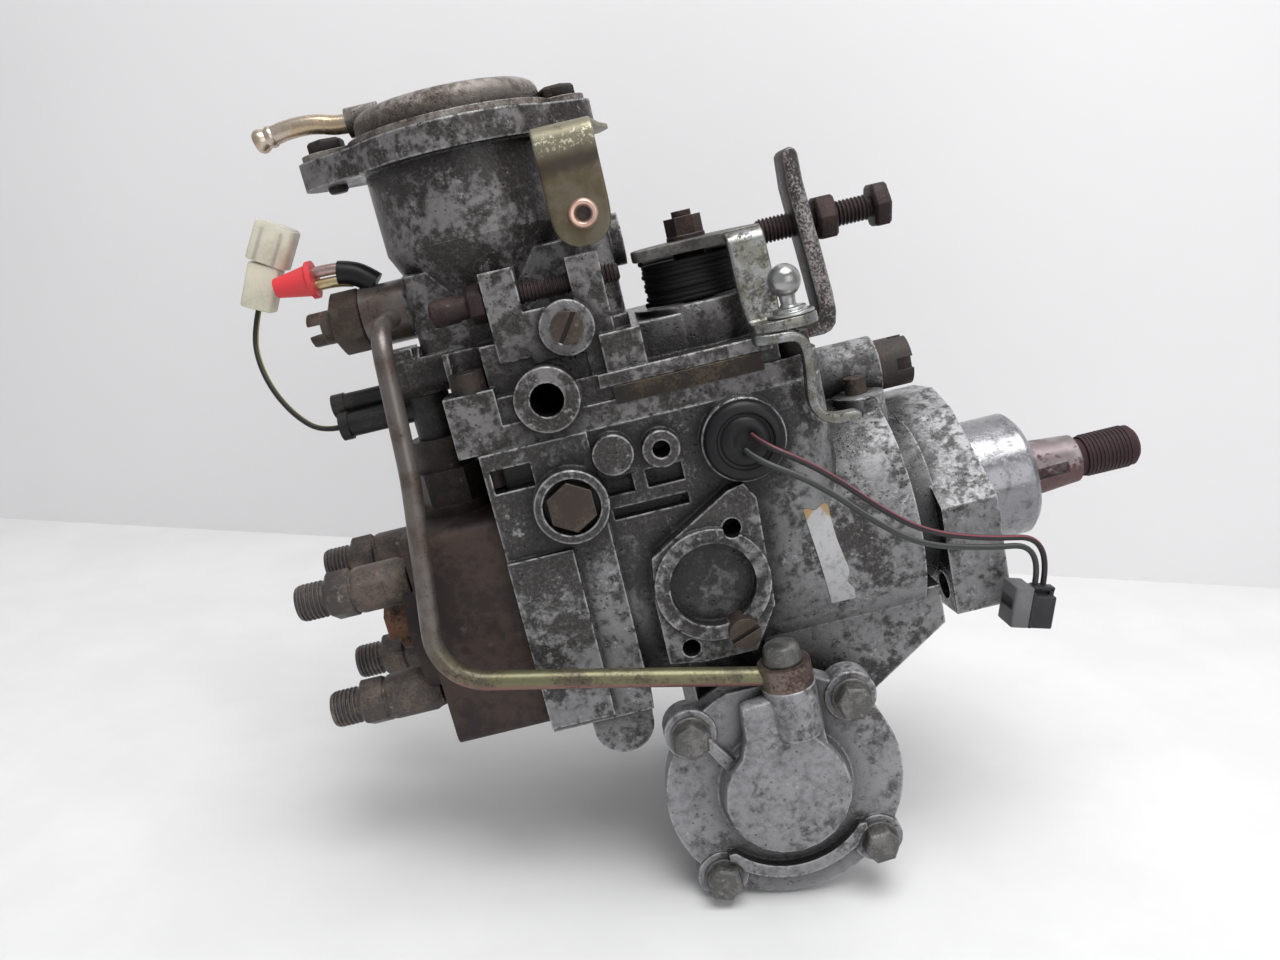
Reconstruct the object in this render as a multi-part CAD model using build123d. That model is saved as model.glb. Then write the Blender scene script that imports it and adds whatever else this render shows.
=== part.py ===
"""Distributor-type diesel injection pump with a boost compensator, in millimetres.

The origin is on the drive shaft's axis at the mounting flange's front face.
+X leaves the drive end, +Z goes up through the governor cover, +Y is the far side.
"""
from build123d import *
import math
import os

os.makedirs("parts", exist_ok=True)

# Drive end
FLANGE_T = 18.0
FLANGE_BOLT_PCD = 68.0
FLANGE_BOLT_HOLE_R = 4.5
PILOT_R = 21.0
PILOT_L = 20.0
JOURNAL_R = 10.0
SHAFT_END = 61.5
THREAD_R = 7.0
THREAD_L = 18.5
TAPER_END_R = 8.2
NECK_L = 3.0
KEYWAY_R = 7.5
KEYWAY_W = 4.0
SEAL_R = 16.0
SEAL_T = 9.0
BUSH_WALL = 2.5
RUNNING_CLEARANCE = 0.04
FIT_GAP = 0.1

# Housing
BODY_R = 40.0
BORE_R = 34.0
BORE_FRONT = -34.0
SHOULDER_X = -27.0
NECK_R = 28.0
HEAD_FACE_X = -151.0
DECK_FRONT_X = -46.0
DECK_HALF_W = 39.0
DECK_WALL = 8.0
DECK_TOP = 56.0
CORNER_R = 14.0
REAR_BLOCK_L = 32.0
REAR_HALF_W = 41.0
REAR_BOTTOM = -34.0
FOOT_X = -129.5
FOOT_Z = -38.0
FOOT_R = 9.5
PAD_Y = -45.0
PAD_RING = (-93.0, 3.0)
PAD_HOLES = [(-84.0, 18.8), (-103.5, -15.5)]
PAD_HOLE_R = 2.8
BLIND_BOSS = (-113.0, 48.0)
OPEN_BOSS = (-99.0, 46.5)
OPEN_BOSS_HOLE_R = 2.6
WALL_POCKETS = [(-149, -137, 44, 51), (-117, -109, 35, 40.5), (-105, -94, 35, 40.5), (-117, -94, 27.5, 31)]

# Distributor head
HEAD_L = 30.0
HEAD_HALF_W = 38.0
HEAD_TOP = 36.0
HEAD_BOTTOM = -33.0
HEAD_BOSS_R = 30.0
HEAD_BOSS_L = 7.0
SPIGOT_L = 8.0
BARREL_R = 15.0
BARREL_L = 18.0
BARREL_SEAT = 12.0
CENTRE_PLUG_R = 10.5
HOLDER_OFFSET = 19.0
HOLDER_R = 7.5
HOLDER_HEX = 14.0
HOLDER_THREAD_R = 6.0
HOLDER_SEAT_R = 6.7
HOLDER_L = 33.5
HOLDER_BORE_R = 1.5

# Plunger and its control sleeve
PLUNGER_R = 5.5
PLUNGER_SPRING_R = 4.5
PLUNGER_SPRING_WIRE = 0.9
PLUNGER_SPRING_Y = 22.0
CONTROL_SLEEVE_R = 11.0
CONTROL_SLEEVE_L = 12.0

# Feed pump and gears on the shaft
PUMP_ROTOR_R = 22.0
PUMP_L = 16.0
LINER_BORE_R = 25.0
LINER_ECCENTRIC = 1.5
PUMP_COVER_T = 4.0
VANE_T = 3.1
VANE_L = 9.9
DRIVE_TEETH = 37
GOVERNOR_TEETH = 23
GEAR_T = 8.0
GEAR_BACKLASH = 0.25

# Coupling, roller ring and cam plate
CLAW_R = 14.5
CLAW_T = 8.0
CLAW_OFFSET = 9.0
COUPLING_T = 5.0
RING_X = -85.0
RING_T = 14.0
RING_BORE_R = 16.0
ROLLER_R = 5.5
ROLLER_TRACK_R = 23.0
ROLLER_L = 9.0
ROLLER_PIN_R = 2.0
LOBE_LIFT = 2.2
LOBE_R = 14.0
CAM_T = 7.0
CAM_R = 28.5
CAM_GAP = 0.3

# Governor
GOVERNOR_Z = 52.0
GOVERNOR_SHAFT_R = 4.0
GOVERNOR_SLEEVE_R = 7.0
CAGE_R = 17.0
WEIGHT_L = 18.0
WEIGHT_W = 9.0
WEIGHT_PIVOT_R = 14.0
LEVER_PIVOT_Z = 22.0
PIVOT_PIN_R = 3.0
GOVERNOR_SPRING_R = 3.0

# Timer
TIMER_X = -85.0
TIMER_Z = -65.0
TIMER_BORE_R = 15.0
TIMER_BLOCK_R = 24.0
TIMER_NEAR_Y = -44.0
TIMER_FAR_Y = 36.0
TIMER_FLANGE_R = 34.5
TIMER_BOLT_SQUARE = 50.0
TIMER_COVER_R = 37.0
TIMER_COVER_T = 7.0
TIMER_PISTON_L = 44.0
TIMER_SPRING_R = 9.0
TIMER_SPRING_WIRE = 1.2
SLIDE_PIN_R = 4.0
SLIDE_PIN_X = RING_X + 1.5

# Governor cover
COVER_REAR_X = -155.0
COVER_FLANGE_TOP = 63.0
COVER_LEDGE_Z = 71.0
COVER_ROOM_TOP = 78.0
COVER_REAR_TOP = 86.0
COVER_BOLTS = [(-149.0, -34.5, 74.0), (-149.0, 34.5, 74.0), (-53.5, -31.5, 63.0), (-53.5, 31.5, 63.0)]
REAR_STUB = (-14.0, 81.5)
INLET = (-127.5, 68.0)
INLET_R = 4.9
SLOT_SCREW = (-117.3, 86.0)
SLOT_SCREW_R = 4.8
IDLE_Y = -31.0
IDLE_Z = 97.8

# Throttle lever, its shaft and the stop
LEVER_X = -76.0
LEVER_Y = -12.0
LEVER_Z = 98.5
LEVER_T = 3.5
LEVER_SHAFT_R = 5.0
LEVER_BOSS_R = 20.5
LEVER_BOSS_TOP = 84.0
LEVER_ARM_Z = 72.0
CRANK_Z = 69.0
RETURN_SPRING_R = 15.6
BALL = (-54.2, -39.5, 85.0)
BALL_R = 4.8
STOP_BAR_Y = -3.0
STOP_BAR_T = 5.0
MAX_SCREW_Z = 98.5
MAX_SCREW_R = 4.0
MAX_SCREW_HEX = 13.0

# Boost compensator
CUP_X = -138.2
CUP_R = 29.0
COMP_X = -140.5
COMP_BASE = 86.0
COMP_EAR = 36.0
COMP_FLANGE_R = 33.0
COMP_FLANGE_Z = 141.0
COMP_FLANGE_T = 8.0
COMP_CAP_R = 28.5
COMP_CAP_H = 9.5
NIPPLE_Z = 158.0
STRAP_Y = -36.0
STRAP_T = 1.6
BARREL_Y = -5.0
BARREL_Z = 100.5

# Fittings in the near wall and on top of the drive end
PLUG = (-128.0, 36.5)
PLUG_THREAD_R = 6.0
PLUG_HEX = 13.0
GROMMET = (-75.0, 43.5)
GROMMET_R = 12.0
SLOT_PLUG = (-87.0, -13.0)
VALVE_X = -20.5
VALVE_Y = 8.0
VALVE_Z = 46.0
VALVE_R = 8.5
ADJUSTER = (-31.5, -9.0, 41.5)

# Fuel cut-off solenoid and its boots
SOLENOID_X = -166.0
SOLENOID_Y = -8.0
SOLENOID_R = 11.5
BOOT_END_X = -195.0
BOOT_Z = 69.6
BOOT_R = 3.8

# Pipe and banjos
PIPE_R = 2.9
BANJO_BOLT_R = 5.0
LOW_BANJO = (-78.0, -52.5, -26.5)
TOP_BANJO = (-171.0, BARREL_Y, BARREL_Z)
TOP_EYE_R = 9.5
TOP_EYE_L = 14.0
LOW_EYE_R = 8.0
TUBE_Z = 115.6
LOW_EYE_H = 7.0

# Fasteners
M6_R = 3.0
M6_HEX = 10.0
SOCKET_HEAD_R = 5.0
SOCKET_HEAD_H = 6.0
SOCKET_HEX = 5.0
BOLT_SLACK = 0.3
HEAD_BOLTS = [(-32.0, 29.0), (32.0, 29.0), (-32.0, -27.0), (32.0, -27.0)]

# Wires: the route of each one, in the order that it runs
WIRE_R = 0.9
WIRE_EXIT_Y = -47.5
WIRE_A_EXIT = (-73.0, 45.0)
WIRE_B_EXIT = (-75.5, 41.0)
SENSOR_PLUG = (1.2, -42.0, -28.5)
SENSOR_PLUG_TILT = 17.0
SENSOR_PLUG_SIZE = (13.4, 10.0, 13.0)
NYLON_LOW = (-208.9, 3.0, 117.2)
NYLON_LOW_SIZE = (10.5, 8.0, 14.5)
NYLON_LOW_TILT = 28.0
NYLON_TOP = (-201.8, 3.0, 128.9)
NYLON_TOP_SIZE = (13.0, 9.0, 12.8)
NYLON_TOP_TILT = 33.0

# Places worked out from the sizes
ALONG_X = Rot(0, 90, 0)
AGAINST_X = Rot(0, -90, 0)
TOWARDS_CAMERA = Rot(90, 0, 0)
AWAY_FROM_CAMERA = Rot(-90, 0, 0)
bush_r = JOURNAL_R + RUNNING_CLEARANCE + BUSH_WALL
seal_x = PILOT_L - SEAL_T - 2.0
pump_x0 = BORE_FRONT - PUMP_L
pump_cover_x = pump_x0 - PUMP_COVER_T
gear_x1 = pump_cover_x - 3.0
gear_x0 = gear_x1 - GEAR_T
gear_module = 2 * GOVERNOR_Z / (DRIVE_TEETH + GOVERNOR_TEETH)
drive_pitch_r = gear_module * DRIVE_TEETH / 2
claw_x = gear_x0 - 12.0
cage_disc_x = gear_x0 - 3.0
ring_x0 = RING_X - RING_T / 2
ring_x1 = RING_X + RING_T / 2
roller_x = ring_x0 + ROLLER_R - 2.5
cam_tip_x = roller_x - ROLLER_R - CAM_GAP
cam_face_x = cam_tip_x - LOBE_LIFT
cam_back_x = cam_face_x - CAM_T
governor_lever_x = cam_back_x - 9.0
sleeve_tip_x = governor_lever_x + 1.5
head_rear_x = HEAD_FACE_X - HEAD_L
head_boss_x = head_rear_x - HEAD_BOSS_L
spigot_x = HEAD_FACE_X + SPIGOT_L
barrel_end_x = spigot_x + BARREL_L
chamber_x0 = HEAD_FACE_X + 6.0
chamber_x1 = DECK_FRONT_X - 10.0
timer_cover_y = TIMER_NEAR_Y - TIMER_COVER_T
timer_bolt_seat = timer_cover_y - 0.5
cap_base = COMP_FLANGE_Z + COMP_FLANGE_T
lever_top = LEVER_Z + LEVER_T
eye_x0 = TOP_BANJO[0] - TOP_EYE_L / 2
eye_x1 = TOP_BANJO[0] + TOP_EYE_L / 2


def cyl_x(radius, x0, x1, y=0.0, z=0.0):
    return Pos((x0 + x1) / 2, y, z) * Rot(0, 90, 0) * Cylinder(radius, abs(x1 - x0))


def cyl_y(radius, y0, y1, x=0.0, z=0.0):
    return Pos(x, (y0 + y1) / 2, z) * Rot(90, 0, 0) * Cylinder(radius, abs(y1 - y0))


def cyl_z(radius, z0, z1, x=0.0, y=0.0):
    return Pos(x, y, (z0 + z1) / 2) * Cylinder(radius, abs(z1 - z0))


def block(x0, x1, y0, y1, z0, z1):
    centre = Pos((x0 + x1) / 2, (y0 + y1) / 2, (z0 + z1) / 2)
    return centre * Box(abs(x1 - x0), abs(y1 - y0), abs(z1 - z0))


def rounded_block(x0, x1, y0, y1, z0, z1, radius, axis=Axis.Z):
    shape = block(x0, x1, y0, y1, z0, z1)
    return fillet(shape.edges().filter_by(axis), radius)


def deck_block(x0, x1, z0, z1):
    """A block as wide as the deck, its near front corner rounded clear of the lever's swing."""
    shape = block(x0, x1, -DECK_HALF_W, DECK_HALF_W, z0, z1)
    corner = shape.edges().filter_by(Axis.Z).sort_by_distance((x1, -DECK_HALF_W, (z0 + z1) / 2))[0]
    return fillet(corner, CORNER_R)


def hex_prism(across_flats, length, place):
    sketch = RegularPolygon(across_flats / 2, 6, major_radius=False)
    return place * extrude(sketch, amount=length)


def ring_x(outer, inner, x0, x1, y=0.0, z=0.0):
    return cyl_x(outer, x0, x1, y, z) - cyl_x(inner, x0 - 1, x1 + 1, y, z)


def slab_y(points, y0, y1):
    """A plate with an outline in X and Z, from y0 to y1."""
    return extrude(Plane.XZ.offset(-y1) * Polygon(*points, align=None), amount=y1 - y0, dir=(0, -1, 0))


def slab_x(points, x0, x1):
    """A plate with an outline in Y and Z, from x0 to x1."""
    return extrude(Plane.YZ.offset(x0) * Polygon(*points, align=None), amount=x1 - x0, dir=(1, 0, 0))


def slab_z(points, z0, z1):
    """A plate with an outline in X and Y, from z0 to z1."""
    return extrude(Plane.XY.offset(z0) * Polygon(*points, align=None), amount=z1 - z0, dir=(0, 0, 1))


def turned(points, place):
    """A turned piece: points are pairs of radius and height above the place."""
    outline = Polygon(*points, align=None)
    return place * revolve(Plane.XZ * outline, Axis.Z)


def quarter_turns(shape, start=0.0):
    """The shape four times round the shaft."""
    return [Rot(start + 90 * quarter, 0, 0) * shape for quarter in range(4)]


def spring_along(radius, wire, length, turns, place, steps=10):
    """A coil spring of square wire, ten straight steps to a turn."""
    count = int(turns * steps)
    points = []
    for step in range(count + 1):
        angle = 2 * math.pi * step / steps
        height = wire + (length - 2 * wire) * step / count
        points.append((radius * math.cos(angle), radius * math.sin(angle), height))
    path = Polyline(*points)
    profile = Plane(origin=path @ 0, z_dir=path % 0) * Rectangle(1.8 * wire, 1.8 * wire)
    return place * sweep(profile, path=path, transition=Transition.RIGHT)


def tube(points, radii, radius):
    """A tube along straight runs joined by tangent arcs."""
    path = FilletPolyline(*points, radius=radii)
    profile = Plane(origin=path @ 0, z_dir=path % 0) * Circle(radius)
    return sweep(profile, path=path)


def full_radii(points):
    """The largest arc that each corner's two runs allow."""
    radii = []
    for before, corner, after in zip(points, points[1:], points[2:]):
        first = Vector(*corner) - Vector(*before)
        second = Vector(*after) - Vector(*corner)
        half_turn = math.radians(first.get_angle(second) / 2)
        shorter = min(first.length, second.length, 30 * WIRE_R)
        radii.append(0.45 * shorter / math.tan(half_turn))
    return radii


def make_wire(name, points):
    """A wire along its route; the printed figures prove its radii and its length."""
    radii = full_radii(points)
    wire = tube(points, radii, WIRE_R)
    length = wire.volume / (math.pi * WIRE_R**2)
    print(name, "radii", [round(radius, 1) for radius in radii], "length", round(length, 1))
    return wire


def save(name, shape):
    if isinstance(shape, (list, tuple)):
        shape = Compound(children=list(shape))
    export_step(shape, f"parts/{name}.step")


def involute_gear(teeth, module, width, turn_deg):
    """A spur gear with its first tooth centred at turn_deg, flanks from the involute's formula."""
    pressure = math.radians(20)
    pitch_r = module * teeth / 2
    base_r = pitch_r * math.cos(pressure)
    tip_r = pitch_r + module
    root_r = pitch_r - 1.25 * module
    half_tooth = (math.pi * module / 2 - GEAR_BACKLASH) / (2 * pitch_r)
    inv_pitch = math.tan(pressure) - pressure

    def flank_angle(radius):
        roll = math.acos(min(1.0, base_r / radius))
        return half_tooth + inv_pitch - (math.tan(roll) - roll)

    start_r = max(base_r, root_r)
    flank = [(root_r, flank_angle(start_r))]
    for step in range(3):
        radius = start_r + (tip_r - start_r) * step / 2
        flank.append((radius, flank_angle(radius)))
    points = []
    for tooth in range(teeth):
        middle = math.radians(turn_deg) + 2 * math.pi * tooth / teeth
        for radius, angle in [(r, -a) for r, a in flank] + [(r, a) for r, a in reversed(flank)]:
            points.append((radius * math.cos(middle + angle), radius * math.sin(middle + angle)))
    return extrude(Polygon(*points, align=None), amount=width)


def timer_bolt_places():
    half = TIMER_BOLT_SQUARE / 2
    return [(TIMER_X + sx * half, TIMER_Z + sz * half) for sx in (-1, 1) for sz in (-1, 1)]


def holder_places():
    return [(sy * HOLDER_OFFSET, sz * HOLDER_OFFSET) for sy in (-1, 1) for sz in (1, -1)]


def make_housing():
    flange = [(-33, -31), (-33, 5), (-4, 28), (12, 33), (33, 31), (33, -5), (4, -28), (-12, -33)]
    body = cyl_x(BODY_R, HEAD_FACE_X, SHOULDER_X)
    body += cyl_x(NECK_R, SHOULDER_X - 1, -FLANGE_T + 1)
    body += slab_x(flange, -FLANGE_T, 0)
    pilot = cyl_x(PILOT_R, 0, PILOT_L)
    body += chamfer(pilot.edges().filter_by(GeomType.CIRCLE).sort_by(Axis.X)[-1], 2.0)
    # The deck carries the governor cover, and the rear block carries the head
    body += deck_block(HEAD_FACE_X, DECK_FRONT_X, 0, DECK_TOP)
    rear_x1 = HEAD_FACE_X + REAR_BLOCK_L
    body += block(HEAD_FACE_X, rear_x1, -REAR_HALF_W, REAR_HALF_W, REAR_BOTTOM, DECK_TOP)
    body += block(HEAD_FACE_X, HEAD_FACE_X + 20, -REAR_HALF_W - 2, -REAR_HALF_W, REAR_BOTTOM + 2, 23)
    # Timer block under the barrel, with the web to the flange
    body += cyl_y(TIMER_BLOCK_R, TIMER_NEAR_Y + 3, TIMER_FAR_Y - 1, TIMER_X, TIMER_Z)
    body += block(TIMER_X - 20, TIMER_X + 20, -30, 30, TIMER_Z, -25)
    body += cyl_y(TIMER_FLANGE_R, TIMER_NEAR_Y, TIMER_NEAR_Y + 7, TIMER_X, TIMER_Z)
    half = TIMER_BLOCK_R
    body += block(TIMER_X - half, TIMER_X + half, TIMER_FAR_Y - 8, TIMER_FAR_Y, TIMER_Z - half, TIMER_Z + half)
    body += slab_y([(-22, -20), (-22, -33), (-48, -50), (-62, -60), (-80, -60), (-80, -20)], -32, 20)
    # Foot under the rear block
    body += cyl_y(FOOT_R, -39, -18, FOOT_X, FOOT_Z)
    body += block(FOOT_X - FOOT_R, FOOT_X + FOOT_R, -39, -18, FOOT_Z, -28)
    # Hexagon plug boss, small bosses and the grommet's boss on the near wall
    body += cyl_y(11.0, -REAR_HALF_W - 6, -35, *PLUG)
    body += cyl_y(6.0, -REAR_HALF_W - 3, -35, *BLIND_BOSS)
    body += cyl_y(5.5, -REAR_HALF_W - 3, -35, *OPEN_BOSS)
    body += cyl_y(12.5, -REAR_HALF_W - 3, -35, *GROMMET)
    # Side pad with its ring
    pad = [(-78, 31), (-83, 30), (-109, 15), (-111, 2), (-111, -19), (-100, -21), (-84, -21), (-76, -8), (-75, 26)]
    body += slab_y(pad, PAD_Y, -25)
    body += cyl_y(17.5, PAD_Y - 1.5, PAD_Y + 1, *PAD_RING)
    # Regulating valve boss and the adjuster boss on top of the drive end
    body += cyl_x(10.5, VALVE_X - 22, VALVE_X, VALVE_Y, VALVE_Z)
    body += block(VALVE_X - 22, VALVE_X - 4, VALVE_Y - 9, VALVE_Y + 9, 20, VALVE_Z)
    body += cyl_z(8.25, 20, ADJUSTER[2], ADJUSTER[0], ADJUSTER[1])

    # Bores along the shaft
    body -= cyl_x(BORE_R, HEAD_FACE_X - 1, BORE_FRONT)
    body -= cyl_x(drive_pitch_r + gear_module + 1.0, gear_x0 - 1.5, gear_x1 + 1.5)
    body -= cyl_x(bush_r, BORE_FRONT - 1, PILOT_L + 1)
    body -= cyl_x(SEAL_R, seal_x, PILOT_L + 1)
    # Governor chamber, open to the cover, with the seats of its shaft and its lever's pin
    wall = DECK_HALF_W - DECK_WALL
    chamber = block(chamber_x0, chamber_x1, -wall, wall, 0, DECK_TOP + 1)
    body -= fillet(chamber.edges().filter_by(Axis.Z), 4.0)
    body -= cyl_x(GOVERNOR_SHAFT_R, chamber_x1 - 1, chamber_x1 + 6, 0, GOVERNOR_Z)
    # Timer bore and the slot for the slide pin
    body -= cyl_y(TIMER_BORE_R, TIMER_NEAR_Y - 1, TIMER_FAR_Y + 1, TIMER_X, TIMER_Z)
    body -= block(RING_X - 6, RING_X + 8, -14, 14, TIMER_Z, -BORE_R + 6)
    # Recesses in the near wall
    body -= cyl_y(8.5, -REAR_HALF_W - 7, -REAR_HALF_W - 1, *PLUG)
    body -= cyl_y(PLUG_THREAD_R, -REAR_HALF_W - 7, -31, *PLUG)
    body -= cyl_y(13.0, PAD_Y - 3, PAD_Y + 3, *PAD_RING)
    for x, z in PAD_HOLES:
        body -= cyl_y(PAD_HOLE_R, PAD_Y - 3, PAD_Y + 12, x, z)
    body -= cyl_y(OPEN_BOSS_HOLE_R, -REAR_HALF_W - 5, -31.5, *OPEN_BOSS)
    body -= cyl_y(7.0, -REAR_HALF_W - 4, -30, *GROMMET)
    body -= cyl_y(SLOT_SCREW_R, PAD_Y - 3, PAD_Y + 9, *SLOT_PLUG)
    for x0, x1, z0, z1 in WALL_POCKETS:
        body -= block(x0, x1, -REAR_HALF_W - 1, -DECK_HALF_W + 4, z0, z1)
    body -= cyl_x(VALVE_R - 2, VALVE_X - 16, VALVE_X + 1, VALVE_Y, VALVE_Z)
    # Bolt holes
    for angle in (45, 225):
        y = FLANGE_BOLT_PCD / 2 * math.cos(math.radians(angle))
        z = FLANGE_BOLT_PCD / 2 * math.sin(math.radians(angle))
        body -= cyl_x(FLANGE_BOLT_HOLE_R, -FLANGE_T - 1, 1, y, z)
    for x, z in timer_bolt_places():
        body -= cyl_y(M6_R, TIMER_NEAR_Y - 1, TIMER_NEAR_Y + 7.5, x, z)
    for x, y, seat in COVER_BOLTS:
        body -= cyl_z(M6_R, DECK_TOP - 12, DECK_TOP + 1, x, y)
    for y, z in HEAD_BOLTS:
        body -= cyl_x(M6_R, HEAD_FACE_X - 1, HEAD_FACE_X + 12, y, z)
    return body


def make_drive_shaft():
    taper_end = SHAFT_END - THREAD_L - NECK_L
    neck_r = THREAD_R - 0.8
    claw_end = claw_x + CLAW_T
    outline = [
        (0, claw_x), (CLAW_R, claw_x), (CLAW_R, claw_end), (JOURNAL_R, claw_end), (JOURNAL_R, PILOT_L),
        (TAPER_END_R, taper_end), (neck_r, taper_end), (neck_r, taper_end + NECK_L),
        (THREAD_R, taper_end + NECK_L), (THREAD_R, SHAFT_END - 1.5), (THREAD_R - 1.5, SHAFT_END), (0, SHAFT_END)]
    shaft = turned(outline, ALONG_X)
    # Keyway for a half-round key on the near side of the taper
    shaft -= cyl_z(KEYWAY_R, -KEYWAY_W / 2, KEYWAY_W / 2, PILOT_L + 9, -JOURNAL_R - 3)
    # Claws that drive the coupling disc
    for side in (-1, 1):
        middle = side * CLAW_OFFSET
        shaft += block(claw_x - COUPLING_T, claw_x + 1, middle - 3, middle + 3, -5, 5)
    return shaft


def make_coupling_disc():
    disc = ring_x(CLAW_R - 1, 4.0, claw_x - COUPLING_T - 0.2, claw_x - 0.2)
    for side in (-1, 1):
        low = side * CLAW_OFFSET - 3.2
        high = side * CLAW_OFFSET + 3.2
        disc -= block(claw_x - COUPLING_T - 1, claw_x + 1, low, high, -5.2, 5.2)
        disc -= block(claw_x - COUPLING_T - 1, claw_x + 1, -5.2, 5.2, low, high)
    return disc


def make_cam_plate():
    """The cam plate with one lobe for each cylinder, its driving claws and the plunger's seat."""
    plate = cyl_x(CAM_R, cam_back_x, cam_face_x)
    half = math.sqrt(LOBE_R ** 2 - (LOBE_R - LOBE_LIFT) ** 2)
    steps = [half * (i / 4 - 1) for i in range(9)]
    arc = [(cam_tip_x - LOBE_R + math.sqrt(LOBE_R ** 2 - y * y), y) for y in steps]
    outline = [(cam_face_x - 1, -half)] + arc + [(cam_face_x - 1, half)]
    lobe = slab_z(outline, ROLLER_TRACK_R - 6, ROLLER_TRACK_R + 4.5)
    for turned_lobe in quarter_turns(lobe):
        plate += turned_lobe
    plate += cyl_x(8.0, cam_face_x, claw_x - COUPLING_T - 3)
    for side in (-1, 1):
        middle = side * CLAW_OFFSET
        plate += block(cam_face_x, claw_x - LOBE_LIFT - 0.8, -5, 5, middle - 3, middle + 3)
    return plate


def make_roller_ring():
    ring = ring_x(BORE_R - FIT_GAP, RING_BORE_R, ring_x0, ring_x1)
    inner = ROLLER_TRACK_R - ROLLER_L / 2 - 0.5
    outer = ROLLER_TRACK_R + ROLLER_L / 2 + 0.5
    seat = block(ring_x0 - 1, roller_x + ROLLER_R + 0.5, -ROLLER_R - 0.4, ROLLER_R + 0.4, inner, outer)
    pin_seat = cyl_z(ROLLER_PIN_R, RING_BORE_R - 1, BORE_R - 2, roller_x, 0)
    for cut in quarter_turns(seat, 45) + quarter_turns(pin_seat, 45):
        ring -= cut
    return ring - cyl_z(SLIDE_PIN_R, -BORE_R - 1, -BORE_R + 10, SLIDE_PIN_X, 0)


def make_rollers():
    roller = cyl_z(ROLLER_R, ROLLER_TRACK_R - ROLLER_L / 2, ROLLER_TRACK_R + ROLLER_L / 2, roller_x, 0)
    roller += cyl_z(ROLLER_PIN_R, RING_BORE_R + 0.5, BORE_R - 2.2, roller_x, 0)
    return quarter_turns(roller, 45)


def make_slide_pin():
    return cyl_z(SLIDE_PIN_R, TIMER_Z - 3, -BORE_R + 9.9, SLIDE_PIN_X, 0)


def make_feed_liner():
    liner = cyl_x(BORE_R - FIT_GAP, pump_x0, BORE_FRONT - 0.05)
    liner -= cyl_x(LINER_BORE_R, pump_x0 - 1, BORE_FRONT + 1, 0, LINER_ECCENTRIC)
    cover = ring_x(BORE_R - FIT_GAP, JOURNAL_R + 0.6, pump_cover_x, pump_x0)
    return [liner, cover]


def make_feed_rotor():
    rotor = ring_x(PUMP_ROTOR_R, JOURNAL_R, pump_x0 + 0.1, BORE_FRONT - 0.15)
    half = VANE_T / 2
    root = PUMP_ROTOR_R + 1 - VANE_L
    slot = block(pump_x0 - 1, BORE_FRONT + 1, -half - 0.05, half + 0.05, root - 0.1, PUMP_ROTOR_R + 2)
    for cut in quarter_turns(slot):
        rotor -= cut
    vane = block(pump_x0 + 0.2, BORE_FRONT - 0.2, -half, half, root, PUMP_ROTOR_R + 1)
    return [rotor] + quarter_turns(vane)


def make_drive_gear():
    gear = involute_gear(DRIVE_TEETH, gear_module, GEAR_T, 0)
    gear = Pos(gear_x0, 0, 0) * ALONG_X * Rot(0, 0, 180) * gear
    return gear - cyl_x(JOURNAL_R, gear_x0 - 1, gear_x1 + 1)


def make_flyweight_cage():
    """The governor's gear and cage: a gap between two teeth faces the drive gear."""
    turn = 0 if GOVERNOR_TEETH % 2 else 180 / GOVERNOR_TEETH
    gear = involute_gear(GOVERNOR_TEETH, gear_module, GEAR_T, turn)
    cage = Pos(gear_x0, 0, GOVERNOR_Z) * ALONG_X * Rot(0, 0, 180) * gear
    cage += cyl_x(CAGE_R, cage_disc_x, gear_x0, 0, GOVERNOR_Z)
    rear = cage_disc_x - WEIGHT_L - 2
    posts = ring_x(CAGE_R, CAGE_R - 4.5, rear, cage_disc_x, 0, GOVERNOR_Z)
    half = WEIGHT_W / 2 + 0.6
    posts -= block(rear - 1, cage_disc_x, -half, half, GOVERNOR_Z - 30, GOVERNOR_Z + 30)
    posts -= block(rear - 1, cage_disc_x, -30, 30, GOVERNOR_Z - half, GOVERNOR_Z + half)
    cage += posts
    return cage - cyl_x(GOVERNOR_SHAFT_R + RUNNING_CLEARANCE, rear, gear_x1 + 1, 0, GOVERNOR_Z)


def make_flyweight(quarter):
    """One flyweight: a heavy outer block with a toe that reaches in to the sleeve."""
    front = cage_disc_x - 0.4
    weight = block(front - WEIGHT_L, front - 2.2, -WEIGHT_W / 2, WEIGHT_W / 2, 9.0, WEIGHT_PIVOT_R)
    weight += block(front - 5, front - 2.2, -WEIGHT_W / 4, WEIGHT_W / 4, GOVERNOR_SLEEVE_R - 1.2, 10.0)
    weight += cyl_y(1.8, -WEIGHT_W / 2, WEIGHT_W / 2, front - 2.2, WEIGHT_PIVOT_R - 0.5)
    return Pos(0, 0, GOVERNOR_Z) * Rot(90 * quarter, 0, 0) * weight


def make_governor_sleeve():
    sleeve = cyl_x(GOVERNOR_SLEEVE_R, sleeve_tip_x + 4, cage_disc_x - 6.2, 0, GOVERNOR_Z)
    sleeve += cyl_x(GOVERNOR_SLEEVE_R - 2, sleeve_tip_x + 0.4, sleeve_tip_x + 5, 0, GOVERNOR_Z)
    return sleeve - cyl_x(GOVERNOR_SHAFT_R + RUNNING_CLEARANCE, sleeve_tip_x - 1, cage_disc_x, 0, GOVERNOR_Z)


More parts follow.
